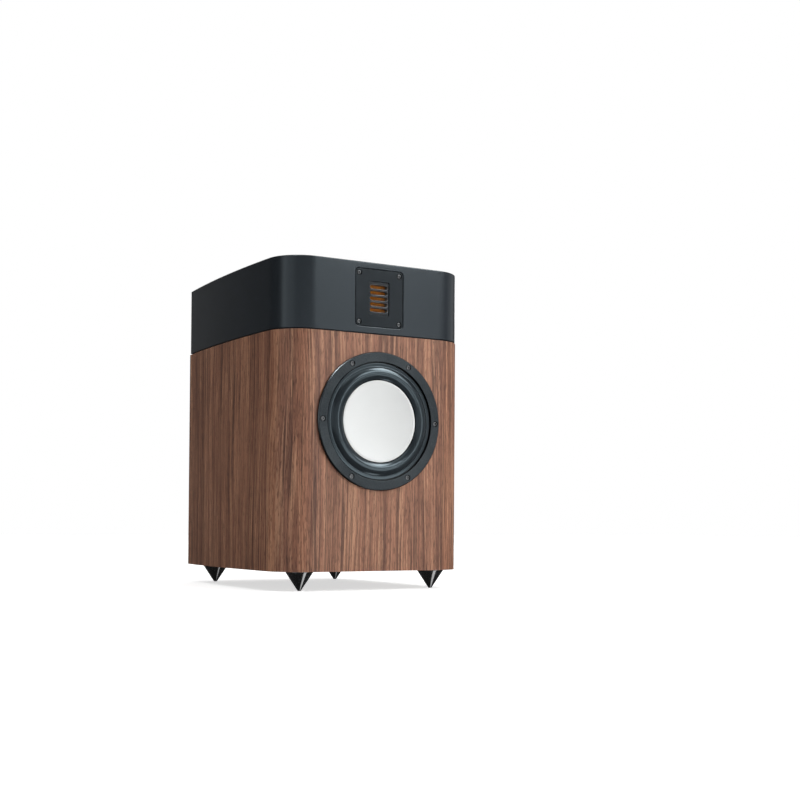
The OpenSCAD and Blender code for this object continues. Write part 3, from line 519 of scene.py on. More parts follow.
rare_earth = coated("nickel_magnet", (0.45, 0.45, 0.46), (0.6, 0.6, 0.61), (0.2, 0.32),
                    metal=1.0, grain=0.4, relief=0.004, spread=10)
foam = coated("open_foam", (0.018, 0.018, 0.020), (0.06, 0.06, 0.065), (0.9, 1.0), grain=2.0,
              relief=0.5)
fibreboard = coated("fibreboard", (0.20, 0.12, 0.065), (0.34, 0.22, 0.13), (0.75, 0.9),
                    grain=1.2, relief=0.08)
sealed_edge = coated("sealed_edge", (0.030, 0.017, 0.011), (0.055, 0.032, 0.021), (0.55, 0.7),
                     grain=1.0, relief=0.04)
beech = coated("turned_beech", (0.42, 0.24, 0.12), (0.56, 0.35, 0.19), (0.5, 0.65), grain=1.0,
               relief=0.03, spread=15)
circuit_green = coated("circuit_board", (0.006, 0.045, 0.02), (0.012, 0.08, 0.036), (0.3, 0.45),
                       grain=1.5, relief=0.01)
spider_cloth = coated("dipped_cotton", (0.34, 0.22, 0.07), (0.52, 0.36, 0.14), (0.7, 0.85),
                      grain=0.5, relief=0.12)
capacitor_film = coated("capacitor_sleeve", (0.22, 0.02, 0.014), (0.32, 0.035, 0.02),
                        (0.25, 0.4), grain=1.0, relief=0.01)
ceramic = coated("cement_ceramic", (0.55, 0.53, 0.48), (0.7, 0.68, 0.63), (0.7, 0.85),
                 grain=0.8, relief=0.08)
lead_cover = coated("lead_cover", (0.012, 0.012, 0.013), (0.02, 0.02, 0.021), (0.4, 0.52),
                    grain=0.6, relief=0.02)
print("finishes:", len(bpy.data.materials))

# %% [markdown]
# ## Walnut veneer
# The cabinet's skin is one long sheet of straight-grained walnut, bent round the front corners
# with its grain upright. Its colour is built from wide soft bands of heartwood with fine strands
# in them, pale streaks, thin dark growth lines, and pores drawn out along the grain, and all of
# them wander a little as they rise. The sheet has a UV map in metres, across and up, so the
# pattern follows the wood round the bends. Noise stretched along the grain gives every layer,
# each with its own width and length.

# %% The veneer's figure as a group
walnut_figure, gin, gout = new_group(
    "walnut_figure", [("Across", "NodeSocketFloat", 0.0), ("Up", "NodeSocketFloat", 0.0)],
    [(name, "NodeSocketFloat") for name in ("Tone", "Streaks", "Lines", "Pores", "Height")])


def stretched_noise(tree, across, up, width, length, seed, detail=2.0, rough=0.5):
    """Noise with a grain width and length in metres, on coordinates across and up."""
    spot = add(tree, "CombineXYZ", X=calc(tree, "DIVIDE", across, width),
               Y=calc(tree, "DIVIDE", up, length), Z=seed)
    return add(tree, "TexNoise", Vector=spot.outputs[0], Scale=1.0, Detail=detail,
               Roughness=rough).outputs[0]


def build_walnut(tree, gin, gout):
    """Across is bent by a slow noise first, so that all the lines wander together. Tone mixes
    wide bands and fine strands. Streaks are pale, lines are dark, and pores are short dashes."""
    straight, up = gin.outputs["Across"], gin.outputs["Up"]
    across = straight
    for width, length, seed, reach in ((0.11, 0.42, 3.7, 0.036), (0.014, 0.075, 9.1, 0.0016)):
        bend = stretched_noise(tree, straight, up, width, length, seed, 1.0)
        bend = calc(tree, "MULTIPLY", calc(tree, "SUBTRACT", bend, 0.5), reach)
        across = calc(tree, "ADD", across, bend)
    wide = stretched_noise(tree, across, up, 0.020, 1.3, 45.2, 1.0)
    strand = stretched_noise(tree, across, up, 0.0016, 0.06, 7.9, 3.0, 0.7)
    streak = stretched_noise(tree, across, up, 0.0030, 0.20, 12.9)
    line = stretched_noise(tree, across, up, 0.0026, 0.22, 11.4)
    dash = stretched_noise(tree, across, up, 0.00055, 0.010, 2.6, 1.0)
    fibre = stretched_noise(tree, across, up, 0.0006, 0.05, 8.8)
    pores = ramp(tree, dash, [(0.36, 1.0), (0.45, 0.0)])
    feed(tree, gout, Tone=scaled(tree, weighted(tree, wide, 0.45, strand), 0.34, 0.66),
         Streaks=ramp(tree, streak, [(0.50, 0.0), (0.66, 1.0)]),
         Lines=ramp(tree, line, [(0.34, 1.0), (0.46, 0.0)]), Pores=pores,
         Height=calc(tree, "SUBTRACT", calc(tree, "MULTIPLY", fibre, 0.4), pores))


build_walnut(walnut_figure, gin, gout)


# %% Walnut finishes, on the bent sheet and on flat boards
def walnut(name, kind):
    """Satin-lacquered walnut. Kind UV reads the sheet's own map; kind Object reads x and z."""
    finish, tree, shader = new_finish(name)
    flat = add(tree, "SeparateXYZ", Vector=place_of(tree, kind))
    figure = grouped(tree, walnut_figure, Across=flat.outputs[0],
                     Up=flat.outputs[1 if kind == "UV" else 2])
    wood = ramp(tree, figure["Tone"], [
        (0.0, (0.110, 0.048, 0.031)), (0.35, (0.228, 0.099, 0.060)),
        (0.65, (0.325, 0.148, 0.088)), (1.0, (0.500, 0.245, 0.142))])
    for layer, share, colour in (("Streaks", 0.62, (0.60, 0.32, 0.186)),
                                 ("Lines", 0.76, (0.078, 0.036, 0.025)),
                                 ("Pores", 0.6, (0.036, 0.018, 0.013))):
        wood = mixed(tree, calc(tree, "MULTIPLY", figure[layer], share), wood, colour)
    feed(tree, shader, Base_Color=wood, Specular_IOR_Level=0.25,
         Roughness=scaled(tree, figure["Tone"], low=0.52, high=0.42))
    bump(tree, shader, figure["Height"], depth_mm=0.05, strength=0.6)
    return finish


veneer_finish = walnut("walnut_veneer", "UV")
board_finish = walnut("walnut_board", "Object")
print("walnut ready")

# %% [markdown]
# ## The cabinet's outline
# Seen from above, the front is flat, each front corner is a large round, and each side is one
# long shallow arc. All of it moves in together when the outline is offset, so one function of
# two numbers, how far round and how far in, gives every edge of cabinet and head.

# %% Outline of cabinet and head
WIDTH, DEPTH = 279.0, rear_y - face_y
CORNER_R, SIDE_R, WIDEST = 47.0, 2060.0, 127.0
SIDE_X = SIDE_R - WIDTH / 2                     # a side arc's middle lies this far over the axis
RUN = SIDE_R - CORNER_R
CORNER_X = math.sqrt(RUN ** 2 - (WIDEST - CORNER_R) ** 2) - SIDE_X
TURN_START = math.atan2(CORNER_R - WIDEST, CORNER_X + SIDE_X)
REAR_ROUND = 1.5
FRONT_RUN = 24                                  # points along each half of the flat front


def half_outline(inset, rear_inset, counts, rear_corner):
    """Right half, from the middle of the front back to the rear. The flat front is a straight
    run; the corner is an arc whose normal turns from forwards to nearly sideways; the side is
    an arc of far larger radius. With a rear corner, a small round and the rear run follow."""
    run = np.linspace(0, 1, counts[0], endpoint=False)
    front = np.stack([run * CORNER_X, np.full(counts[0], inset)], -1)
    a = np.linspace(-math.pi / 2, TURN_START, counts[1], endpoint=False)
    corner = np.stack([CORNER_X + (CORNER_R - inset) * np.cos(a),
                       CORNER_R + (CORNER_R - inset) * np.sin(a)], -1)
    small = max(REAR_ROUND - inset, 0.1) if rear_corner else 0.0
    rear = DEPTH - rear_inset
    reach = SIDE_R - inset - small
    end = math.asin((rear - small - WIDEST) / reach)
    a = np.linspace(TURN_START, end, counts[2], endpoint=not rear_corner)
    side = np.stack([(SIDE_R - inset) * np.cos(a) - SIDE_X,
                     WIDEST + (SIDE_R - inset) * np.sin(a)], -1)
    parts = [front, corner, side]
    if rear_corner:
        x = reach * math.cos(end) - SIDE_X
        a = np.linspace(end, math.pi / 2, counts[3], endpoint=False)
        parts.append(np.stack([x + small * np.cos(a), rear - small + small * np.sin(a)], -1))
        parts.append(np.stack([np.linspace(x, 0, counts[4]), np.full(counts[4], rear)], -1))
    return np.concatenate(parts) + np.array([0, face_y])


def outline(inset, rear_inset=0.0, counts=(FRONT_RUN, 28, 48, 5, 12), rear_corner=True):
    """The whole outline: the left half is the right one mirrored, and they meet in the middle."""
    right = half_outline(inset, rear_inset, counts, rear_corner)
    left = right * np.array([-1, 1])
    if rear_corner:
        return np.concatenate([right, left[-2:0:-1]])
    return np.concatenate([left[:0:-1], right])


print("corner middle at x", round(CORNER_X, 2), "outline points", len(outline(0)))

# %% [markdown]
# ## The veneered wrap
# On the real cabinet the veneer is pressed onto the bent wall, runs round both front corners
# and stops at the rear edges. Here it is the outline carried up in rows, with a UV map of arc
# length and height. The flat front is filled separately round the driver's hole, and Solidify
# then gives the sheet its thickness inwards, so the hole and the edges get real walls.

# %% Veneer sheet
RING_COVER, VENEER_EDGE = 1.6, 0.25             # the ring's lap over the hole; the edges' round


def crossed(*arrays):
    """Arrays of rows and columns spread over the whole grid and stacked as its points."""
    return np.stack(np.broadcast_arrays(*arrays), -1)


def veneer_sheet():
    """Rows are heights and columns follow the outline; across is the length along it."""
    path = outline(0.0, counts=(FRONT_RUN, 40, 64), rear_corner=False)
    step = np.hypot(*np.diff(path, axis=0).T)
    length = np.concatenate([[0], np.cumsum(step)])
    length -= length[-1] / 2
    z = np.linspace(veneer_low[2], veneer_high[2], 25)
    points = crossed(path[None, :, 0], path[None, :, 1], z[:, None])
    side_parts, uvs = [], []
    for keep in (length <= -CORNER_X + 0.01, length >= CORNER_X - 0.01):
        side_parts.append(grid(points[:, keep]))
        uvs.append(crossed(length[None, keep], z[:, None]).reshape(-1, 2))
    x = path[np.abs(path[:, 1] - face_y) < 1e-6, 0]
    low, high = np.full_like(x, z[0]), np.full_like(x, z[-1])
    rim = np.concatenate([np.stack([x, low], -1),
                          np.stack([np.full(len(z) - 2, x[-1]), z[1:-1]], -1),
                          np.stack([x[::-1], high], -1),
                          np.stack([np.full(len(z) - 2, x[0]), z[-2:0:-1]], -1)])
    hole = circle_loop((ring_high[0] - ring_low[0]) / 2 - RING_COVER, 180, 0, woofer_z)
    flat, faces = skin(rim, [hole])
    front = np.column_stack([flat[:, 0], np.full(len(flat), face_y), flat[:, 1]])
    return [*side_parts, (front, faces.tolist())], np.concatenate([*uvs, flat]) / 1000


parts, uv = veneer_sheet()
piece("veneer_sheet", parts, veneer_finish, stands_for=["walnut_veneer"],
      uv=uv, thickness=veneer_high[0] - box("cabinet_wrap")[1][0], bevel=VENEER_EDGE)

# %% [markdown]
# ## The head
# The head is a hollow block of the same outline, lacquered satin black, with soft edges and a
# pocket milled into its front for the tweeter. It is one profile, up the inside, round the
# bottom rim, up the outside and over the top edge, carried round the outline. The two flat
# tops are filled, and so is the flat front, round the pocket's loop.

# %% Head shell
HEAD_WALL, HEAD_INSET, HEAD_FOOT, HEAD_EDGE = 16.0, head_y - face_y, 0.5, 1.4
TOP_RUN = 3                                     # the flat tops start this far in
PLATE_R, POCKET_FIT, POCKET_DEPTH, POCKET_EDGE = 5.0, 0.4, 5.8, 1.1
BODY_W, BODY_H, BODY_R = 52.0, 54.0, 3.0        # the hole for the tweeter's body
tweeter_centre = np.array([0, head_y, tweeter_z])


def grown(width, height, radius, points=12):
    """A rounded rectangle as a function of how far all its sides move out."""
    return lambda out: box_loop(width + 2 * out, height + 2 * out, radius + out, points)


def head_block():
    """Each row is an inset and a height, made into that outline. The two upright walls leave
    out the flat front, which is filled round the pocket outside and round its hole inside."""
    z0, z1 = head_low[2], head_high[2]
    over = rounded([(TOP_RUN, z0), (0, z0, HEAD_FOOT), (0, z1, HEAD_EDGE), (TOP_RUN, z1)],
                   steps=5)
    profile = [(HEAD_WALL, z1 - HEAD_WALL), (HEAD_WALL, z0), *map(tuple, over)]
    rings = [at_depth(outline(HEAD_INSET + i, HEAD_INSET + i), z) for i, z in profile]
    count = len(rings[0])
    column = np.arange(count)
    flat_front = (column < FRONT_RUN) | (column >= count - FRONT_RUN)
    pocket = grown(plate_w + 2 * POCKET_FIT, plate_h + 2 * POCKET_FIT, PLATE_R + POCKET_FIT)
    body = grown(BODY_W, BODY_H, BODY_R)
    wall = edge_rows(pocket, POCKET_EDGE, 0, POCKET_DEPTH, 6)
    wall += [(body(0), POCKET_DEPTH), (body(0), HEAD_WALL)]
    parts = [walls(wall, tweeter_centre)]
    for k, ((inset, start), (next_inset, end)) in enumerate(zip(profile, profile[1:])):
        verts, faces = grid(np.stack(rings[k:k + 2]), False, True)
        if inset == next_inset and abs(start - end) > HEAD_EDGE:
            faces = [f for f, skip in zip(faces, flat_front) if not skip]
            x = np.sort(rings[k][flat_front | (column == FRONT_RUN), 0])
            low, high = sorted([start, end])
            rim = np.concatenate([np.stack([x, np.full_like(x, low - tweeter_z)], -1),
                                  np.stack([x[::-1], np.full_like(x, high - tweeter_z)], -1)])
            hole, depth = (wall[0][0], 0) if inset < HEAD_WALL else (body(0), HEAD_WALL)
            parts.append(filled(rim, [hole], depth, tweeter_centre))
        parts.append((verts, faces))
    for ring in (rings[0], rings[-1]):
        flat, fill = skin(ring[:, :2])
        parts.append((at_depth(flat, ring[0, 2]), fill.tolist()))
    return parts


piece("head_shell_black", head_block(), black_lacquer,
      stands_for=["head_shell"])

# %% [markdown]
# ## Socket-head screws
# Every visible fastener is a black socket screw. Round the axis its radius is constant, except
# in the hexagonal socket, where it swells and shrinks six times a turn. So one lathe serves for
# all of them, with a wave that turns the circle into a hexagon on the socket's rows. Black
# oxide is steel with a thin dark skin, so its finish is a metal with a dark colour, and on the
# front each head sinks into a wider counterbore, whose shadow draws a dark ring round it; in
# the trim ring the counterbore's wall is also painted near black, as painted shade.

# %% Screws
def socket_screw(centre, head_r, head_h, socket_r, length, shank_r, facing="front", blunt=0.9):
    """Profile from the middle of the socket's floor, up its six-sided wall, over the head, whose
    edge is blunted by a round, and down to the shank's end. Depth grows in from the head's top."""
    socket = [(0, 0.6 * head_h), (socket_r, 0.6 * head_h), (socket_r, 0.12), (socket_r + 0.12, 0)]
    over = rounded([(socket_r + 0.3, 0), (head_r, 0, blunt), (head_r, head_h), (shank_r, head_h),
                    (shank_r, length), (0, length)], 0.0, 4)
    profile = np.concatenate([socket, over])

    def six_sides(rows, angle):
        """A hexagon's side lies as far out as the cosine of half its angle, over the cosine of
        the angle from the side's middle."""
        side = math.cos(math.pi / 6) / np.cos(angle % (math.pi / 3) - math.pi / 6)
        hexed = np.arange(len(rows)) < len(socket)
        return np.where(hexed[:, None], side[None, :], 1.0)

    return turned(profile, centre, facing, 36, six_sides)


SCREW_CIRCLE, SCREW_SUNK, RING_PROUD = 83.5, 0.7, face_y - ring_low[1]
woofer_centre = np.array([0, face_y, woofer_z])
screw_spots = circle_loop(SCREW_CIRCLE, 6)
screw_parts = [socket_screw(woofer_centre + [x, SCREW_SUNK - RING_PROUD, z], head_r=3.1,
                            head_h=2.1, socket_r=1.5, length=16, shank_r=2, blunt=0.5)
               for x, z in screw_spots]
piece("woofer_ring_screws", screw_parts, black_screw,
      stands_for=["woofer_screws"])

# %% [markdown]
# ## Trim ring
# The ring that clamps the woofer is cast, machined and coated in a fine charcoal texture. It is
# turned, with a small round at its inner edge and a chamfer outside, except for its flat face,
# which is filled round six counterbores. Each counterbore is a blind hole with its own wall.

# %% Trim ring
RING_IN, RING_OUT, RING_BACK = 77, 90, -0.1     # two radii, and the back's depth
FLAT_IN, FLAT_OUT, CHAMFER_IN, CHAMFER_DEPTH = 78.4, 88.1, 88.6, 1.6
BORE_R, BORE_DEPTH, BORE_EDGE, RING_POINTS = 3.8, 2.8, 0.25, 240


def trim_ring():
    """Two lathe profiles meet in the filled face: one over the inner edge and one outside."""
    top = -RING_PROUD
    inner = rounded([(FLAT_IN, top), (RING_IN, top, 0.9), (RING_IN, RING_BACK)], steps=6)
    outer = rounded([(RING_IN, RING_BACK), (RING_OUT, RING_BACK),
                     (RING_OUT, CHAMFER_DEPTH + top, 0.5), (CHAMFER_IN, top, 0.6),
                     (FLAT_OUT, top)], steps=6)
    profile = np.concatenate([inner, outer[1:]])
    parts = [turned(profile, woofer_centre, segments=RING_POINTS)]
    holes = [circle_loop(FLAT_IN, RING_POINTS)]
    for x, z in screw_spots:
        rows = edge_rows(lambda out: circle_loop(BORE_R + out, 40, x, z), BORE_EDGE, top,
                         BORE_DEPTH + top)
        rows.append((np.array([[x, z]]), BORE_DEPTH + top))
        holes.append(rows[0][0])
        parts.append(walls(rows, woofer_centre))
    parts.append(filled(circle_loop(FLAT_OUT, RING_POINTS), holes, top, woofer_centre))
    return parts


def painted_shade_on_walls(finish, depth_mm, fade_mm=0.2, mirror=(0.22, 0.5), smoother=0.26):
    """Painted shade: whatever lies deeper than the depth, so every wall and bore, is painted near
    black and made smoother, to stand for the shade in those recesses.
    """
    tree = finish.node_tree
    shader = tree.nodes["Principled BSDF"]
    coat, rough = (shader.inputs[name].links[0].from_socket
                   for name in ("Base Color", "Roughness"))
    depth = add(tree, "SeparateXYZ", Vector=place_of(tree)).outputs[1]
    in_painted_shade = scaled(tree, depth, depth_mm / 1000, (depth_mm + fade_mm) / 1000)
    feed(tree, shader, Base_Color=mixed(tree, in_painted_shade, coat, (0.003, 0.003, 0.004)),
         Specular_IOR_Level=scaled(tree, in_painted_shade, low=mirror[0], high=mirror[1]),
         Roughness=calc(tree, "SUBTRACT", rough, calc(tree, "MULTIPLY", in_painted_shade, smoother)))


# Painted shade on the ring's inner wall, outer edge and counterbore walls.
painted_shade_on_walls(ring_coat, face_y - RING_PROUD + 0.3)
piece("woofer_ring", trim_ring(), ring_coat, stands_for=["woofer_trim_ring"])

# %% [markdown]
# ## Surround and cone
# The surround is moulded rubber: a flat land under the ring, one half roll, and a lip glued
# behind the cone. The cone is a shallow white dish with a flat rim. Both are turned. When the
# cone moves, the surround's outer edge stays and its inner edge follows.

# %% Rubber surround
ROLL_OUT, ROLL_IN, ROLL_H, SKIN = 71.0, 54.0, 5.2, 0.8
RIM_Y = box("woofer_cone")[0][1] - face_y       # the cone's edge stands proud of the baffle
LAND_Y, LAND_R, LAND_BACK, LIP_R, LIP_T = RIM_Y, 75.7, 1.2, 51.2, 1.2
CONE_R, CONE_T, RIM_W, DISH = 53.3, 1.0, 2.6, 11.0


def roll_profile():
    """The roll is an arc through both its feet with its crown at the roll's height; the inner
    wall is the same arc, a skin's thickness smaller. The lip lies behind the cone's rim."""
    half, mid, rise = (ROLL_OUT - ROLL_IN) / 2, (ROLL_OUT + ROLL_IN) / 2, ROLL_H + LAND_Y
    arc_r = (half ** 2 + rise ** 2) / (2 * rise)
    sweep = math.asin(half / arc_r)
    a = np.linspace(sweep, -sweep, 33)
    crown = np.stack([mid + arc_r * np.sin(a), arc_r - ROLL_H - arc_r * np.cos(a)], -1)
    under = np.stack([mid + (arc_r - SKIN) * np.sin(a),
                      arc_r - ROLL_H - (arc_r - SKIN) * np.cos(a)], -1)[::-1]
    back = RIM_Y + CONE_T
    outer_land = [(LAND_R, LAND_BACK), (LAND_R, LAND_Y + 0.4), (LAND_R - 0.4, LAND_Y),
                  (72.4, LAND_Y), (71.5, LAND_Y - 0.12)]
    inner_lip = [(53.7, back), (LIP_R, back), (LIP_R, back + LIP_T), (54.6, back + LIP_T)]
    return np.concatenate([outer_land, crown, inner_lip, under, [(ROLL_OUT, LAND_BACK)]])


def share_by_radius(thing, centre, outer, inner):
    """Works out weights from 0 at the outer radius to 1 at the inner one, turning smoothly
    between, and keeps them nowhere.
    """
    count = len(thing.data.vertices)
    co = np.zeros(3 * count, np.float32)
    thing.data.vertices.foreach_get("co", co)
    flat = co.reshape(-1, 3)[:, [0, 2]] * 1000 - [centre[0], centre[2]]
    share = np.clip((outer - np.hypot(*flat.T)) / (outer - inner), 0, 1)
    share = share * share * (3 - 2 * share)


def painted_shade_at_cone_edge(finish, centre, radius_mm, fade_mm=0.2):
    """Painted shade: the rubber inside the radius, at the cone's edge, is painted black and
    mirrors nothing, for the shade in the narrow gap there.
    """
    tree = finish.node_tree
    shader = tree.nodes["Principled BSDF"]
    tone = shader.inputs["Base Color"].links[0].from_socket
    mirror = shader.inputs["Specular IOR Level"].default_value
    flat = add(tree, "VectorMath", {"operation": "MULTIPLY"}, i0=place_of(tree), i1=(1, 0, 1))
    away = add(tree, "VectorMath", {"operation": "DISTANCE"}, i0=flat.outputs[0],
               i1=(centre[0] / 1000, 0, centre[2] / 1000)).outputs["Value"]
    beyond = scaled(tree, away, (radius_mm - fade_mm) / 1000, radius_mm / 1000)
    feed(tree, shader, Base_Color=mixed(tree, beyond, (0.001, 0.001, 0.001), tone),
         Specular_IOR_Level=scaled(tree, beyond, high=mirror))


# Painted shade: a thin black ring on the rubber where it meets the cone.
painted_shade_at_cone_edge(roll_rubber, woofer_centre, radius_mm=54.5)
surround = piece("rubber_surround", [turned(roll_profile(), woofer_centre, segments=192,
                                            closed=True)], roll_rubber,
                 stands_for=["woofer_surround"], ride=False, sharp=60)
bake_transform(surround)
share_by_radius(surround, woofer_centre, outer=70.5, inner=54.8)

# %% White cone
NECK_IN, NECK_MID, NECK_OUT, NECK_L = 19.85, 20.5, 21.25, 4.5


def cone_profile():
    """Front: part of a ball, whose depth is the root of the ball's radius squared less the
    radius squared, moved so that it meets the flat rim at the dish's edge. Back: the same, a
    thickness further in, with the neck that holds the former."""
    dish_r = CONE_R - RIM_W
    ball = (dish_r ** 2 + DISH ** 2) / (2 * DISH)
    r = np.linspace(0, dish_r, 40)
    depth = RIM_Y + DISH - ball + np.sqrt(ball ** 2 - r ** 2)
    rim = rounded([(dish_r + 0.4, RIM_Y), (CONE_R, RIM_Y, 0.35), (CONE_R, RIM_Y + CONE_T),
                   (dish_r, RIM_Y + CONE_T)], steps=4)
    neck_y = np.interp(NECK_MID, r, depth) + CONE_T
    back = np.stack([r, depth + CONE_T], -1)[::-1]
    out_of_neck, in_neck = back[back[:, 0] > NECK_OUT], back[back[:, 0] < NECK_IN]
    neck = [(NECK_OUT, neck_y), (NECK_OUT, neck_y + NECK_L), (NECK_IN, neck_y + NECK_L),
            (NECK_IN, neck_y)]
    return np.concatenate([np.stack([r, depth], -1), rim, out_of_neck[1:], neck, in_neck])


def painted_cone():
    """Off-white lacquer on pressed pulp: hardly any colour, a faint fibre and a soft sheen."""
    finish, tree, shader = new_finish("white_cone")
    where = place_of(tree)
    slow = grouped(tree, drift, Place=where, Size_mm=45.0)
    grains = grouped(tree, fine_grain, Place=where, Grain_mm=1.1)["Grain"]
    feed(tree, shader, Specular_IOR_Level=0.15,
         Base_Color=mixed(tree, slow["Drift"], (0.73, 0.745, 0.74), (0.77, 0.785, 0.78)),
         Roughness=scaled(tree, grains, low=0.5, high=0.62))
    bump(tree, shader, grains, 0.006)
    return finish


piece("woofer_dish", [turned(cone_profile(), woofer_centre, segments=160)], painted_cone(),
      body="cone", stands_for=["woofer_cone"])

# %% [markdown]
# ## Tweeter front
# The tweeter is a folded film behind a slotted steel pole. An anodised faceplate lies in the
# head's pocket, a little below its face, with a thin dark gap all round. The pole fills the
# faceplate's window and has five round-ended slots; its face is painted, and its rounds are
# bare nickel. Both plates are milled outlines with small edge rounds, and their flat skins are
# filled.

# %% Faceplate, pole plate and their screws
PLATE_SUNK, PLATE_T, SCREW_IN, HEAD_SUNK = plate_low[1] - head_y, 4.0, 5.4, 0.5
SLOT_W, SLOT_H, SLOT_PITCH, SLOTS = 26.0, 5.1, 7.5, 5
WINDOW_W, WINDOW_H = SLOT_W + 3.2, (SLOTS - 1) * SLOT_PITCH + SLOT_H + 8.3
PAD_Y, POLE_Y = PLATE_SUNK + 1.3, PLATE_SUNK + PLATE_T
POLE_W, POLE_H, POLE_T = 50.0, 52.0, 4.0


def four_corners(width, height, inset):
    """The corners of a rectangle round the axis, moved in by the inset."""
    return [(sx * (width / 2 - inset), sz * (height / 2 - inset))
            for sx in (-1, 1) for sz in (-1, 1)]


def shifted(loop_of, across, up):
    """The same loop, moved."""
    return lambda out: loop_of(out) + np.array([across, up])


def stepped_hole(across, up, wide, narrow, edge, front, step, back):
    """Rows of a counterbored hole: a rounded rim, the wide bore, its floor, the narrow bore."""
    rows = edge_rows(lambda out: circle_loop(wide + out, 32, across, up), edge, front, step)
    return rows + [(circle_loop(narrow, 32, across, up), step),
                   (circle_loop(narrow, 32, across, up), back)]


def faceplate():
    """Outer edge, window and four counterbored holes."""
    edge, window = grown(plate_w, plate_h, PLATE_R), grown(WINDOW_W + 0.4, WINDOW_H + 0.4, 1.6, 8)
    holes = [edge_rows(window, 0.3, PLATE_SUNK, POLE_Y)]
    holes += [stepped_hole(x, z, wide=3.7, narrow=1.7, edge=0.2, front=PLATE_SUNK,
                           step=PLATE_SUNK + 2, back=POLE_Y) for x, z in corner_spots]
    return milled(edge_rows(lambda out: edge(-out), 0.45, PLATE_SUNK, POLE_Y), holes,
                  tweeter_centre)


def slot_loops():
    """One function of an offset for each slot, from the lowest to the highest."""
    middle = (SLOTS - 1) / 2
    return [shifted(grown(SLOT_W, SLOT_H, SLOT_H / 2 - 0.05, 10), 0, (i - middle) * SLOT_PITCH)
            for i in range(SLOTS)]


def front_pole():
    """The raised pad, a step, and the wider plate behind it, pierced by all the slots."""
    pad, plate = grown(WINDOW_W, WINDOW_H, 1.4, 8), grown(POLE_W, POLE_H, 3, 8)
    outer = edge_rows(lambda out: pad(-out), 0.5, PAD_Y, POLE_Y)
    outer += [(plate(0), POLE_Y), (plate(0), POLE_Y + POLE_T)]
    holes = [edge_rows(slot, 0.6, PAD_Y, POLE_Y + POLE_T, 5) for slot in slot_loops()]
    return milled(outer, holes, tweeter_centre)


def painted_pole():
    """Slate paint on the flat face and bare nickel where a cutter went: on the rounds and walls
    of slots and edges, which lie deeper than the face by more than a hair."""
    finish, tree, shader = new_finish("pole_plate")
    where = place_of(tree)
    depth = add(tree, "SeparateXYZ", Vector=where).outputs[1]
    face = (head_y + PAD_Y) / 1000
    bare = scaled(tree, depth, face + 0.00003, face + 0.00012)
    grains = grouped(tree, fine_grain, Place=where, Grain_mm=0.4)["Grain"]
    paint = mixed(tree, grains, (0.012, 0.015, 0.019), (0.022, 0.027, 0.032))
    metal = mixed(tree, grains, (0.22, 0.235, 0.245), (0.34, 0.355, 0.365))
    feed(tree, shader, Base_Color=mixed(tree, bare, paint, metal), Specular_IOR_Level=0.12,
         Metallic=calc(tree, "MULTIPLY", bare, 0.9),
         Roughness=scaled(tree, grains, low=0.30, high=0.45))
    bump(tree, shader, grains, 0.006)
    return finish


corner_spots = four_corners(plate_w, plate_h, SCREW_IN)
piece("tweeter_plate", faceplate(), anodised,
      stands_for=["tweeter_faceplate"])
piece("slotted_pole", front_pole(), painted_pole(),
      stands_for=["tweeter_front_pole"])
screw_parts = [socket_screw(tweeter_centre + [x, PLATE_SUNK + HEAD_SUNK, z], head_r=2.9,
                            head_h=1.4, socket_r=1.3, length=12, shank_r=1.5, blunt=0.6)
               for x, z in corner_spots]
piece("tweeter_plate_screws", screw_parts, black_screw,
      stands_for=["tweeter_screws"])

# %% [markdown]
# ## Folded film
# The diaphragm is one strip of amber film, folded like a bellows into upright pleats, with an
# etched aluminium track along each flank. Its line across is a row of straight flanks joined by
# small rounds. The finish reads a UV map whose first value counts flanks, so each track keeps
# to the middle of its flank and the folds stay bare amber.

# %% Pleated diaphragm
PLEATS, PLEAT_D, FOLD_R, FILM_T = 12, 3.1, 0.35, 0.25
film_w, film_h = WINDOW_W - 1.2, WINDOW_H - 2.8
FILM_Y = POLE_Y + POLE_T + 0.55                 # just clear of the pole's back


def pleated_film():
    """Corners alternate between the front and the back of the pleats and each is rounded."""
    half = film_w / PLEATS / 2
    zigzag = [(k * half - film_w / 2, FILM_Y + (k % 2) * PLEAT_D, FOLD_R)
              for k in range(2 * PLEATS + 1)]
    line = rounded(zigzag, steps=6)
    z = np.linspace(-film_h / 2, film_h / 2, 9)
    points = crossed(line[None, :, 0], z[:, None], line[None, :, 1])
    uv = crossed((line[None, :, 0] + film_w / 2) / half, z[:, None] / film_h + 0.5)
    return [grid(place(points, tweeter_centre))], uv.reshape(-1, 2)


def film_finish():
    """Amber film with a soft metal track along each flank."""
    finish, tree, shader = new_finish("amber_film")
    flat = add(tree, "SeparateXYZ", Vector=place_of(tree, "UV"))
    beside = calc(tree, "PINGPONG", flat.outputs[0], 0.5)
    track = ramp(tree, calc(tree, "MULTIPLY", beside, 2.0), [(0.42, 0.0), (0.55, 1.0)])
    ends = calc(tree, "MULTIPLY", calc(tree, "PINGPONG", flat.outputs[1], 0.5), 2.0)
    track = calc(tree, "MULTIPLY", track, ramp(tree, ends, [(0.06, 0.0), (0.1, 1.0)]))
    slow = grouped(tree, drift, Place=place_of(tree), Size_mm=8.0)
    amber = mixed(tree, slow["Drift"], (0.62, 0.20, 0.016), (0.76, 0.30, 0.034))
    feed(tree, shader, Base_Color=mixed(tree, track, amber, (0.72, 0.38, 0.11)),
         Metallic=calc(tree, "MULTIPLY", track, 0.4),
         Roughness=scaled(tree, slow["Smudge"], low=0.28, high=0.42))
    return finish


parts, uv = pleated_film()
piece("pleated_film", parts, film_finish(), stands_for=["tweeter_diaphragm"],
      uv=uv, thickness=FILM_T)

# %% [markdown]
# ## Spikes
# Each spike is turned steel, plated gloss black: a stud that screws into the cabinet, a wide
# flat shoulder with a small edge round, and a long cone to a blunt rounded tip. Every spike
# rides its own body, so each can be screwed out to level the speaker.

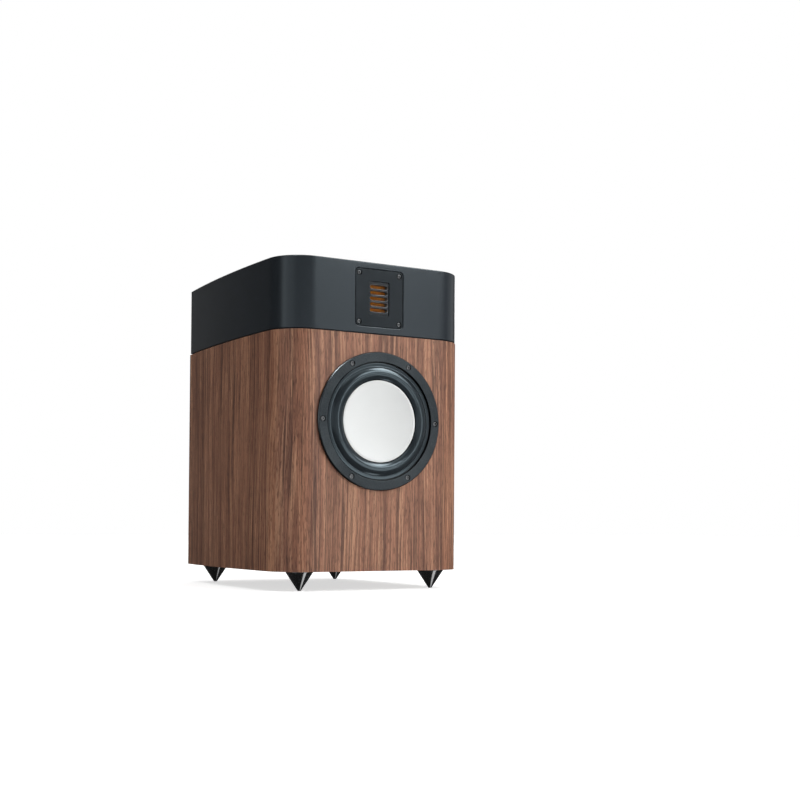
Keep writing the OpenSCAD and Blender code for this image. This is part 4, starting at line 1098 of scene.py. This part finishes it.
# %% Four spikes
def spike_profile(height, top_r, tip_r, stud_r=3.95, stud_l=22.0, gap=0.3, shoulder=1.2):
    """Depth grows from the stud's end, above the shoulder, down to the tip on the floor."""
    return np.concatenate([
        [(0, -stud_l), (stud_r - 0.9, -stud_l), (stud_r, 1 - stud_l), (stud_r, gap)],
        rounded([(stud_r + 0.3, gap), (top_r, gap, 0.35), (top_r, gap + shoulder, 0.5),
                 (tip_r, height, 0.8), (0, height)], steps=6)])


shoulder_z = veneer_low[2]
for way in ("front_left", "front_right", "rear_left", "rear_right"):
    low, high = box("spike_" + way)
    middle = (low + high) / 2
    profile = spike_profile(shoulder_z - low[2], (high[0] - low[0]) / 2, tip_r=2.0)
    parts = [turned(profile, [middle[0], middle[1], shoulder_z], "down", 72)]
    piece("cone_spike_" + way, parts, spike_gloss, body="spike_" + way,
          stands_for=["spike_" + way])

# %% [markdown]
# ## Spider
# Behind the cone a corrugated disc of dipped cotton keeps the voice coil in the middle of its
# gap. Its ridges are circles, so it is turned too. Its outer land stays on the basket and its
# collar moves.

# %% Corrugated spider
FORMER_R, SPIDER_Y, SPIDER_R, LEDGE_R = 19.5, 36.0, 54.0, 46.0


def spider_profile(waves=5, swing=1.7, cloth=0.7):
    """A collar round the former, a sine line of five waves, and a flat land."""
    in_r = FORMER_R + 0.35
    r = np.linspace(in_r + 4, LEDGE_R - 1, 101)
    turn = (r - r[0]) / (r[-1] - r[0]) * waves * TAU
    top = np.stack([r, SPIDER_Y - cloth - swing * np.sin(turn)], -1)
    return np.concatenate([
        [(in_r, SPIDER_Y - 4), (in_r + 1, SPIDER_Y - 4), (in_r + 1, SPIDER_Y - cloth)], top,
        [(SPIDER_R, SPIDER_Y - cloth), (SPIDER_R, SPIDER_Y)], top[::-1] + [0, cloth],
        [(in_r, SPIDER_Y)]])


spider = piece("corrugated_spider", [turned(spider_profile(), woofer_centre, segments=144,
                                            closed=True)], spider_cloth,
               stands_for=["woofer_spider"], ride=False, sharp=70)
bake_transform(spider)
share_by_radius(spider, woofer_centre, outer=45.0, inner=23.5)

# %% [markdown]
# ## Tinsel leads
# Two braided copper leads hang from the coil's former to the tabs in the basket. Each is a
# round tube swept along a smooth curve through a few points, with strands wound round it as a
# slow wave of its radius. The cone carries one end and the basket the other.

# %% Swept leads
def smooth_path(points, steps=10):
    """Curve through all the points whose direction at each one is that of its neighbours."""
    p = np.array([points[0], *points, points[-1]], float)
    u = np.linspace(0, 1, steps, endpoint=False)[None, :, None]
    a, b, c, d = (p[k:len(p) - 3 + k, None, :] for k in range(4))
    curve = 0.5 * (2 * b + (c - a) * u + (2 * a - 5 * b + 4 * c - d) * u ** 2
                   + (3 * b - a - 3 * c + d) * u ** 3)
    return np.vstack([curve.reshape(-1, 3), p[-2:-1]])


def swept(path, radius, strands, twist, sides=16, swell=0.12):
    """Rings round a path, each turned only as far as the path turns, with their centres on
    it. Strands swell the radius as cosines that wind along the path."""
    heading = np.gradient(path, axis=0)
    heading /= np.linalg.norm(heading, axis=1)[:, None]
    side = np.cross(heading[0], [0.5, 0.5, 0.7])
    sides_of = []
    for way in heading:
        side = side - (side @ way) * way
        side = side / np.linalg.norm(side)
        sides_of.append(side)
    side = np.array(sides_of)[:, None, :]
    other = np.cross(heading[:, None, :], side)
    angle = (np.arange(sides) * TAU / sides)[None, :, None]
    run = np.concatenate([[0], np.cumsum(np.linalg.norm(np.diff(path, axis=0), axis=1))])
    wound = 1 + swell * np.cos(strands * angle + twist * run[:, None, None])
    rings = path[:, None, :] + radius * wound * (side * np.cos(angle) + other * np.sin(angle))
    verts, faces = grid(rings, False, True)
    last = len(verts) - sides
    faces += [list(range(sides))[::-1], list(range(last, last + sides))]
    return verts, faces


def tinsel(side):
    """Local points are across, up and depth from the woofer's axis."""
    points = [(20.9, side * 3, 27), (27, side * 4, 29.5), (36, side * 5, 28), (46, side * 5, 29),
              (52.9, side * 5, 31)]
    path = place(smooth_path(points), woofer_centre)
    return swept(path, radius=0.65, strands=4, twist=1.6)


tinsels = piece("braided_leads", [tinsel(-1), tinsel(1)], copper,
                stands_for=["tinsel_leads"], ride=False)
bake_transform(tinsels)

# %% [markdown]
# ## Reflex port
# The port is moulded in two parts: a flare whose mouth curls out to a lip on the rear panel,
# and a tube with a smaller curl at its inner end. Each mouth is a quarter circle in profile, so
# both are turned. A fine sparked texture on the plastic hides scratches.

# %% Port flare and tube
port_low, port_high = box("port_flare")
port_centre = np.array([0, rear_y, (port_low[2] + port_high[2]) / 2])
PORT_R, PORT_WALL, PORT_L, BELL = 25.0, 3.0, 118.0, 8.0
MOUTH_R, LIP, LIP_FLAT = 12.0, 3.0, 7.0
SPLIT, SLEEVE_L, SLEEVE_T, SLEEVE_FIT = 24.0, 14.0, 2.45, 0.05


def mouth(radius, start, way, steps=16):
    """Quarter circle from the bore out to the mouth."""
    a = np.linspace(0, math.pi / 2, steps + 1)
    return np.stack([PORT_R + radius * (1 - np.cos(a)), start + way * radius * np.sin(a)], -1)


def flare_profile():
    """Depth is measured out from the rear face, so the lip has a positive one. A sleeve reaches
    past the bore's end, to hold the tube."""
    lip_r, tube_r = PORT_R + MOUTH_R + LIP_FLAT, PORT_R + PORT_WALL
    return np.concatenate([
        mouth(MOUTH_R, LIP - MOUTH_R, 1),
        rounded([(lip_r - LIP_FLAT, LIP), (lip_r, LIP, 1.5), (lip_r, 0), (tube_r + SLEEVE_T, 0),
                 (tube_r + SLEEVE_T, -SPLIT - SLEEVE_L), (tube_r + SLEEVE_FIT, -SPLIT - SLEEVE_L),
                 (tube_r + SLEEVE_FIT, -SPLIT), (PORT_R, -SPLIT)], 0)[1:]])


def tube_profile():
    """The inner mouth curls the other way, and the wall tapers to the tube behind it."""
    wide = PORT_R + BELL + PORT_WALL - 1
    return np.concatenate([
        mouth(BELL, BELL - PORT_L, -1),
        rounded([(PORT_R + BELL, -PORT_L), (wide, -PORT_L, 0.8), (wide, 2 - PORT_L, 0.8),
                 (PORT_R + PORT_WALL, BELL + 3 - PORT_L, 4), (PORT_R + PORT_WALL, -SPLIT - 0.1),
                 (PORT_R, -SPLIT - 0.1)], 0)[1:]])


piece("port_mouth", [turned(flare_profile(), port_centre, "rear", 120, closed=True)],
      moulded, stands_for=["port_flare"])
piece("port_pipe", [turned(tube_profile(), port_centre, "rear", 96, closed=True)],
      moulded, stands_for=["port_tube"])

# %% [markdown]
# ## Terminals
# A moulded plate on the rear carries two binding posts. Each post has a gold-plated shaft with
# a socket for a banana plug, an insulating collar, a washer, and a cap that screws down on bare
# wire. The collars are red and black to tell the poles apart. The caps' grips are knurled: a
# wave of the lathe's radius cuts the flutes, and fades out towards both ends of each grip.

# %% Terminal plate and screws
terminal_low, terminal_high = box("terminal_plate")
terminal_centre = (terminal_low + terminal_high) / 2 * [1, 0, 1] + [0, rear_y, 0]
TERMINAL_T = terminal_high[1] - rear_y
terminal_w, terminal_h = terminal_high[0] - terminal_low[0], terminal_high[2] - terminal_low[2]
TERMINAL_R, POST_X, POST_HOLE_R, SCREW_PROUD = 8, 9.5, 4.2, 0.4
terminal_spots = four_corners(terminal_w, terminal_h, TERMINAL_R)


def from_outside(rows):
    """Rows given as depths in from a plate's outer face, turned for an axis that points out."""
    return [(loop, TERMINAL_T - depth) for loop, depth in rows]


def terminal_board():
    """Outer edge, four counterbored screw holes and two holes for the posts."""
    edge = grown(terminal_w, terminal_h, TERMINAL_R)
    outer = edge_rows(lambda out: edge(-out), 1.0, 0, TERMINAL_T, 5)
    holes = [stepped_hole(x, z, wide=3.0, narrow=1.7, edge=0.2, front=0, step=1.2,
                          back=TERMINAL_T) for x, z in terminal_spots]
    holes += [edge_rows(lambda out: circle_loop(POST_HOLE_R + out, 40, x, 0), 0.2, 0, TERMINAL_T)
              for x in (-POST_X, POST_X)]
    return milled(from_outside(outer), [from_outside(rows) for rows in holes], terminal_centre,
                  "rear")


piece("terminal_board", terminal_board(), moulded,
      stands_for=["terminal_plate"])
screw_parts = [socket_screw(terminal_centre + [-x, TERMINAL_T + SCREW_PROUD, z], head_r=2.8,
                            head_h=1.6, socket_r=1.2, length=13, shank_r=1.5, facing="inward")
               for x, z in terminal_spots]
piece("terminal_fixings", screw_parts, black_screw,
      stands_for=["terminal_screws"])

# %% Binding posts
CAP_STOP, CAP_L, CAP_R, SHAFT_R, SOCKET_R, SOCKET_L = 4.2, 17.3, 8.5, 4.0, 2.05, 15.0
GRIP_LOW, GRIP_HIGH = CAP_STOP + 4.2, CAP_STOP + CAP_L - 1.2
THREAD_L, THREAD_PITCH, THREAD_CUT, POST_FIT = 16.0, 1.5, 0.18, 0.05
COLLAR_T, INNER_COLLAR_T, WASHER_Y = 2.5, 1.5, 2.8


def post_centre(side):
    """A post's axis where it meets the outer face of the terminal plate; left is at plus x."""
    return terminal_centre + [side * POST_X, TERMINAL_T, 0]


def shaft_profile():
    """Inner end, a thread cut as a cosine's valleys, outer end with its chamfer, and the plug
    socket down its middle."""
    tip = CAP_STOP + CAP_L - 3
    thread = np.linspace(-THREAD_L, -1, 61)
    valley = (1 - np.cos((thread + THREAD_L) / THREAD_PITCH * TAU)) / 2
    wavy = np.stack([SHAFT_R - THREAD_CUT * valley, thread], -1)
    return np.concatenate([[(0, -THREAD_L - 1), (SHAFT_R - 0.5, -THREAD_L - 1)], wavy,
                           [(SHAFT_R, 0), (SHAFT_R, tip - 0.4), (SHAFT_R - 0.4, tip),
                            (SOCKET_R + 0.3, tip), (SOCKET_R, tip - 0.3),
                            (SOCKET_R, tip - SOCKET_L), (0, tip - SOCKET_L)]])


def ring_profile(inner, outer, low, high, edge=0.3):
    """A plain ring with softened edges."""
    return rounded([(inner, low), (outer, low, edge), (outer, high, edge), (inner, high)],
                   steps=3, closed=True, radius=0.08)


def cap_profile(rows=9):
    """Bore, small collar, waist, long grip and chamfered end."""
    bore, a, b = SHAFT_R + POST_FIT, CAP_STOP, CAP_STOP + CAP_L
    grip = np.stack([np.full(rows, CAP_R), np.linspace(GRIP_LOW, GRIP_HIGH, rows)], -1)
    foot = rounded([(bore, a), (CAP_R - 0.6, a), (CAP_R, a + 0.6), (CAP_R, a + 2),
                    (CAP_R - 0.8, a + 2.6), (CAP_R - 0.8, a + 3.4), (CAP_R, a + 4.0)], 0.15, 2)
    return np.concatenate([foot, grip, [(CAP_R - 1, b), (bore + 0.4, b), (bore, b - 0.4)]])


def knurl(rows, angle, flutes=28, cut_mm=0.45):
    """Flutes are valleys of a cosine, as deep as the cut on the grip and nothing elsewhere."""
    on_grip = (rows[:, 1] > GRIP_LOW + 0.1) & (rows[:, 1] < GRIP_HIGH - 0.1)
    valley = (1 - np.cos(flutes * angle)) / 2
    return 1 - on_grip[:, None] * valley[None, :] * cut_mm / CAP_R


def post_ring(side, outer, low, high):
    """A ring round one post's shaft."""
    return turned(ring_profile(SHAFT_R + POST_FIT, outer, low, high), post_centre(side), "rear",
                  72, closed=True)


piece("post_rods", [turned(shaft_profile(), post_centre(side), "rear", 48) for side in (-1, 1)],
      gold, stands_for=["post_shafts"])
for side, colour, cover in ((-1, "black", moulded), (1, "red", moulded_red)):
    collar = [post_ring(side, CAP_R, 0, COLLAR_T),
              post_ring(side, CAP_R, -TERMINAL_T - INNER_COLLAR_T, -TERMINAL_T)]
    piece("post_collar_" + colour, collar, cover,
          stands_for=["post_collars"] if side < 0 else [])
for side, way in ((1, "left"), (-1, "right")):
    washer = post_ring(side, CAP_R - 0.4, WASHER_Y, CAP_STOP - 0.2)
    piece("gold_washer_" + way, [washer], gold, body="post_cap_" + way,
          stands_for=["post_washer_" + way])
    cap = turned(cap_profile(), post_centre(side), "rear", 168, knurl, closed=True)
    piece("gold_cap_" + way, [cap], gold, body="post_cap_" + way,
          stands_for=["post_cap_" + way])

# %% [markdown]
# ## Finishes for the solids that stay
# Boards, castings, magnets and wiring are hidden or have simple shapes, so they keep the solids
# they came with and get a finish each. The rear panel is the one large board in sight: walnut
# like the wrap, with its figure read straight from the object's own space.

# %% Dress the plain solids
plain = {
    sealed_edge: ["cabinet_wrap"], board_finish: ["rear_panel"],
    fibreboard: ["bottom_panel", "bass_top_panel", "ring_brace", "head_base"],
    foam: ["damping_foam"],
    rubber: ["isolation_gasket", "cable_grommet", "woofer_gasket", "tweeter_gasket",
             "magnet_boot"],
    zinc: ["joining_bolts", "woofer_top_plate", "woofer_yoke"],
    brass: ["joining_inserts", "spike_inserts"],
    beech: ["locating_dowels"],
    cast_black: ["woofer_basket"],
    ferrite: ["woofer_magnet"],
    copper: ["copper_sleeve", "voice_coil", "crossover_coils"],
    aluminium: ["coil_former"],
    gold: ["driver_tabs", "post_nuts"],
    nickel: ["tweeter_rear_pole"],
    rare_earth: ["tweeter_magnets"],
    circuit_green: ["diaphragm_frame", "crossover_board"],
    moulded: ["tweeter_back_cup"],
    capacitor_film: ["crossover_capacitors"],
    ceramic: ["crossover_resistors"],
    lead_cover: ["hookup_leads"],
}
for finish, nodes in plain.items():
    for node in nodes:
        mesh = bpy.data.objects[node].data
        mesh.materials.clear()
        mesh.materials.append(finish)
print("plain solids dressed:", sum(len(nodes) for nodes in plain.values()))

# %% [markdown]
# ## Floor, light and camera
# The speaker stands on a pale table that is faintly lit from below and runs into a pale
# background. The light is that of a product studio: a wide light above, a soft box high on the
# front right, a large dim panel below it that the black fronts mirror, and weak fills round the
# sides and rear. Gloss shows its surroundings rather than its own colour, so it is shaped with
# cards, which are seen in gloss only: a bright and a dim one on the left for the head's corner,
# one high and one level on the right for the lines along the rubber roll, one for the glint on
# the ring's rim, and one under the table for the spikes.

# %% Floor
def plain_floor(glow):
    """A wide flat square under the spikes. Seen straight on, it also glows a little, like an
    acrylic table with a lamp below, so that the shadows on it stay pale."""
    edge_m = 5.0
    mesh = bpy.data.meshes.new("floor")
    mesh.from_pydata([(-edge_m, -edge_m, 0), (edge_m, -edge_m, 0), (edge_m, edge_m, 0),
                      (-edge_m, edge_m, 0)], [], [(0, 1, 2, 3)])
    finish, tree, shader = new_finish("pale_floor")
    slow = grouped(tree, drift, Place=place_of(tree), Size_mm=900.0)
    seen = add(tree, "LightPath").outputs["Is Camera Ray"]
    feed(tree, shader, Emission_Color=(1, 1, 1, 1), Roughness=0.9,
         Base_Color=mixed(tree, slow["Drift"], (0.69, 0.69, 0.69), (0.71, 0.71, 0.71)),
         Emission_Strength=calc(tree, "MULTIPLY", seen, glow))
    mesh.materials.append(finish)
    thing = bpy.data.objects.new("floor", mesh)
    bpy.context.scene.collection.objects.link(thing)
    thing.visible_glossy = False                 # no white glare low on the black sides
    thing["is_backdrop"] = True


plain_floor(glow=0.64)

# %% Light
def soft_light(name, place_m, aim_m, wide, tall, power, card=False):
    """A broad area light at a place, turned to a point. A card shows in gloss but lights no
    matt surface, like the white cards set round a product to shape its reflections."""
    light = bpy.data.lights.new(name, "AREA")
    light.shape, light.size, light.size_y, light.energy = "RECTANGLE", wide, tall, power
    thing = bpy.data.objects.new(name, light)
    thing.location = place_m
    way = Vector(aim_m) - Vector(place_m)
    thing.rotation_euler = way.to_track_quat("-Z", "Y").to_euler()
    bpy.context.scene.collection.objects.link(thing)
    thing.visible_diffuse = not card


def studio_world(dim, bright):
    """A bright background to look at, and a dim grey one all round that lights the scene."""
    world = bpy.data.worlds.new("studio")
    bpy.context.scene.world = world
    world.use_nodes = True
    tree = world.node_tree
    seen = add(tree, "LightPath").outputs["Is Camera Ray"]
    feed(tree, tree.nodes["Background"], Color=(1, 1, 1, 1),
         Strength=scaled(tree, seen, low=dim, high=bright))


def overhead(level, spread):
    """A sun straight down with a very wide disc: even light on the floor, soft shadows."""
    light = bpy.data.lights.new("overhead", "SUN")
    light.energy, light.angle = level * math.pi, math.radians(spread)
    thing = bpy.data.objects.new("overhead", light)
    bpy.context.scene.collection.objects.link(thing)


studio_world(dim=0.06, bright=1.0)
overhead(level=0.62, spread=80)
soft_light("key", (1.3, -2.0, 1.4), (0, -0.1, 0.2), 1.5, 0.7, 33.5)
soft_light("front_panel", (1.2, -2.8, 0.25), (0, -0.1, 0.2), 3.5, 1.4, 9.9)
soft_light("low_kicker", (0.3, -0.95, 0.06), (0, -0.2, 0.1), 0.5, 0.15, 1.1)
soft_light("left_fill", (-2.1, -0.5, 0.7), (0, 0, 0.25), 0.5, 1.2, 2.2)
soft_light("right_panel", (2.2, -0.1, 0.6), (0, 0, 0.3), 1.6, 1.2, 3.2)
soft_light("backdrop", (0, 3.0, 0.8), (0, 0, 0.3), 2.8, 2.0, 1.45)
soft_light("rear_fill", (1.6, 2.4, 1.4), (0, 0, 0.2), 1.6, 1.2, 18)
soft_light("left_card", (-2.04, -0.93, 0.6), (0, 0, 0.3), 1.7, 1.4, 9.8, card=True)
soft_light("dim_card", (-1.23, -2.83, 0.5), (0, 0, 0.3), 2.1, 1.4, 6.0, card=True)
soft_light("high_card", (1.2, -1.2, 1.95), (0, -0.1, 0.25), 0.9, 0.9, 42, card=True)
soft_light("crown_card", (1.1, -2.25, 0.45), (0, -0.1, 0.25), 0.3, 0.3, 2.2, card=True)
soft_light("crescent_card", (-0.65, -0.5, 1.95), (0, -0.1, 0.25), 0.3, 0.3, 20, card=True)
soft_light("low_card", (0.35, -0.5, -0.9), (0, 0, 0), 0.3, 0.5, 2.2, card=True)
bpy.context.scene.view_settings.view_transform = "Standard"

# %% Camera
STAND = (-0.83276, -1.65043, 0.09180)           # metres, low and to the left of the speaker
yaw, pitch, roll = (math.radians(a) for a in (30.964, 1.099, 0.399))
forward = Vector((math.sin(yaw) * math.cos(pitch), math.cos(yaw) * math.cos(pitch),
                  math.sin(pitch)))
level = Vector((math.cos(yaw), -math.sin(yaw), 0))
upright = level.cross(forward)
right = level * math.cos(roll) + upright * math.sin(roll)
up = upright * math.cos(roll) - level * math.sin(roll)
lens = bpy.data.cameras.new("camera")
lens.lens, lens.sensor_width = 58.715, 36
lens.shift_x, lens.shift_y = -0.0148, 0.1184
lens.clip_end = 100
camera = bpy.data.objects.new("camera", lens)
turn = Matrix((right, up, -forward)).transposed().to_4x4()
camera.matrix_world = Matrix.Translation(STAND) @ turn
bpy.context.scene.collection.objects.link(camera)
bpy.context.scene.camera = camera

# %% Sizes, then the end
low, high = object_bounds()
print("visual box in mm", [round(1000 * c, 1) for c in (*low, *high)])
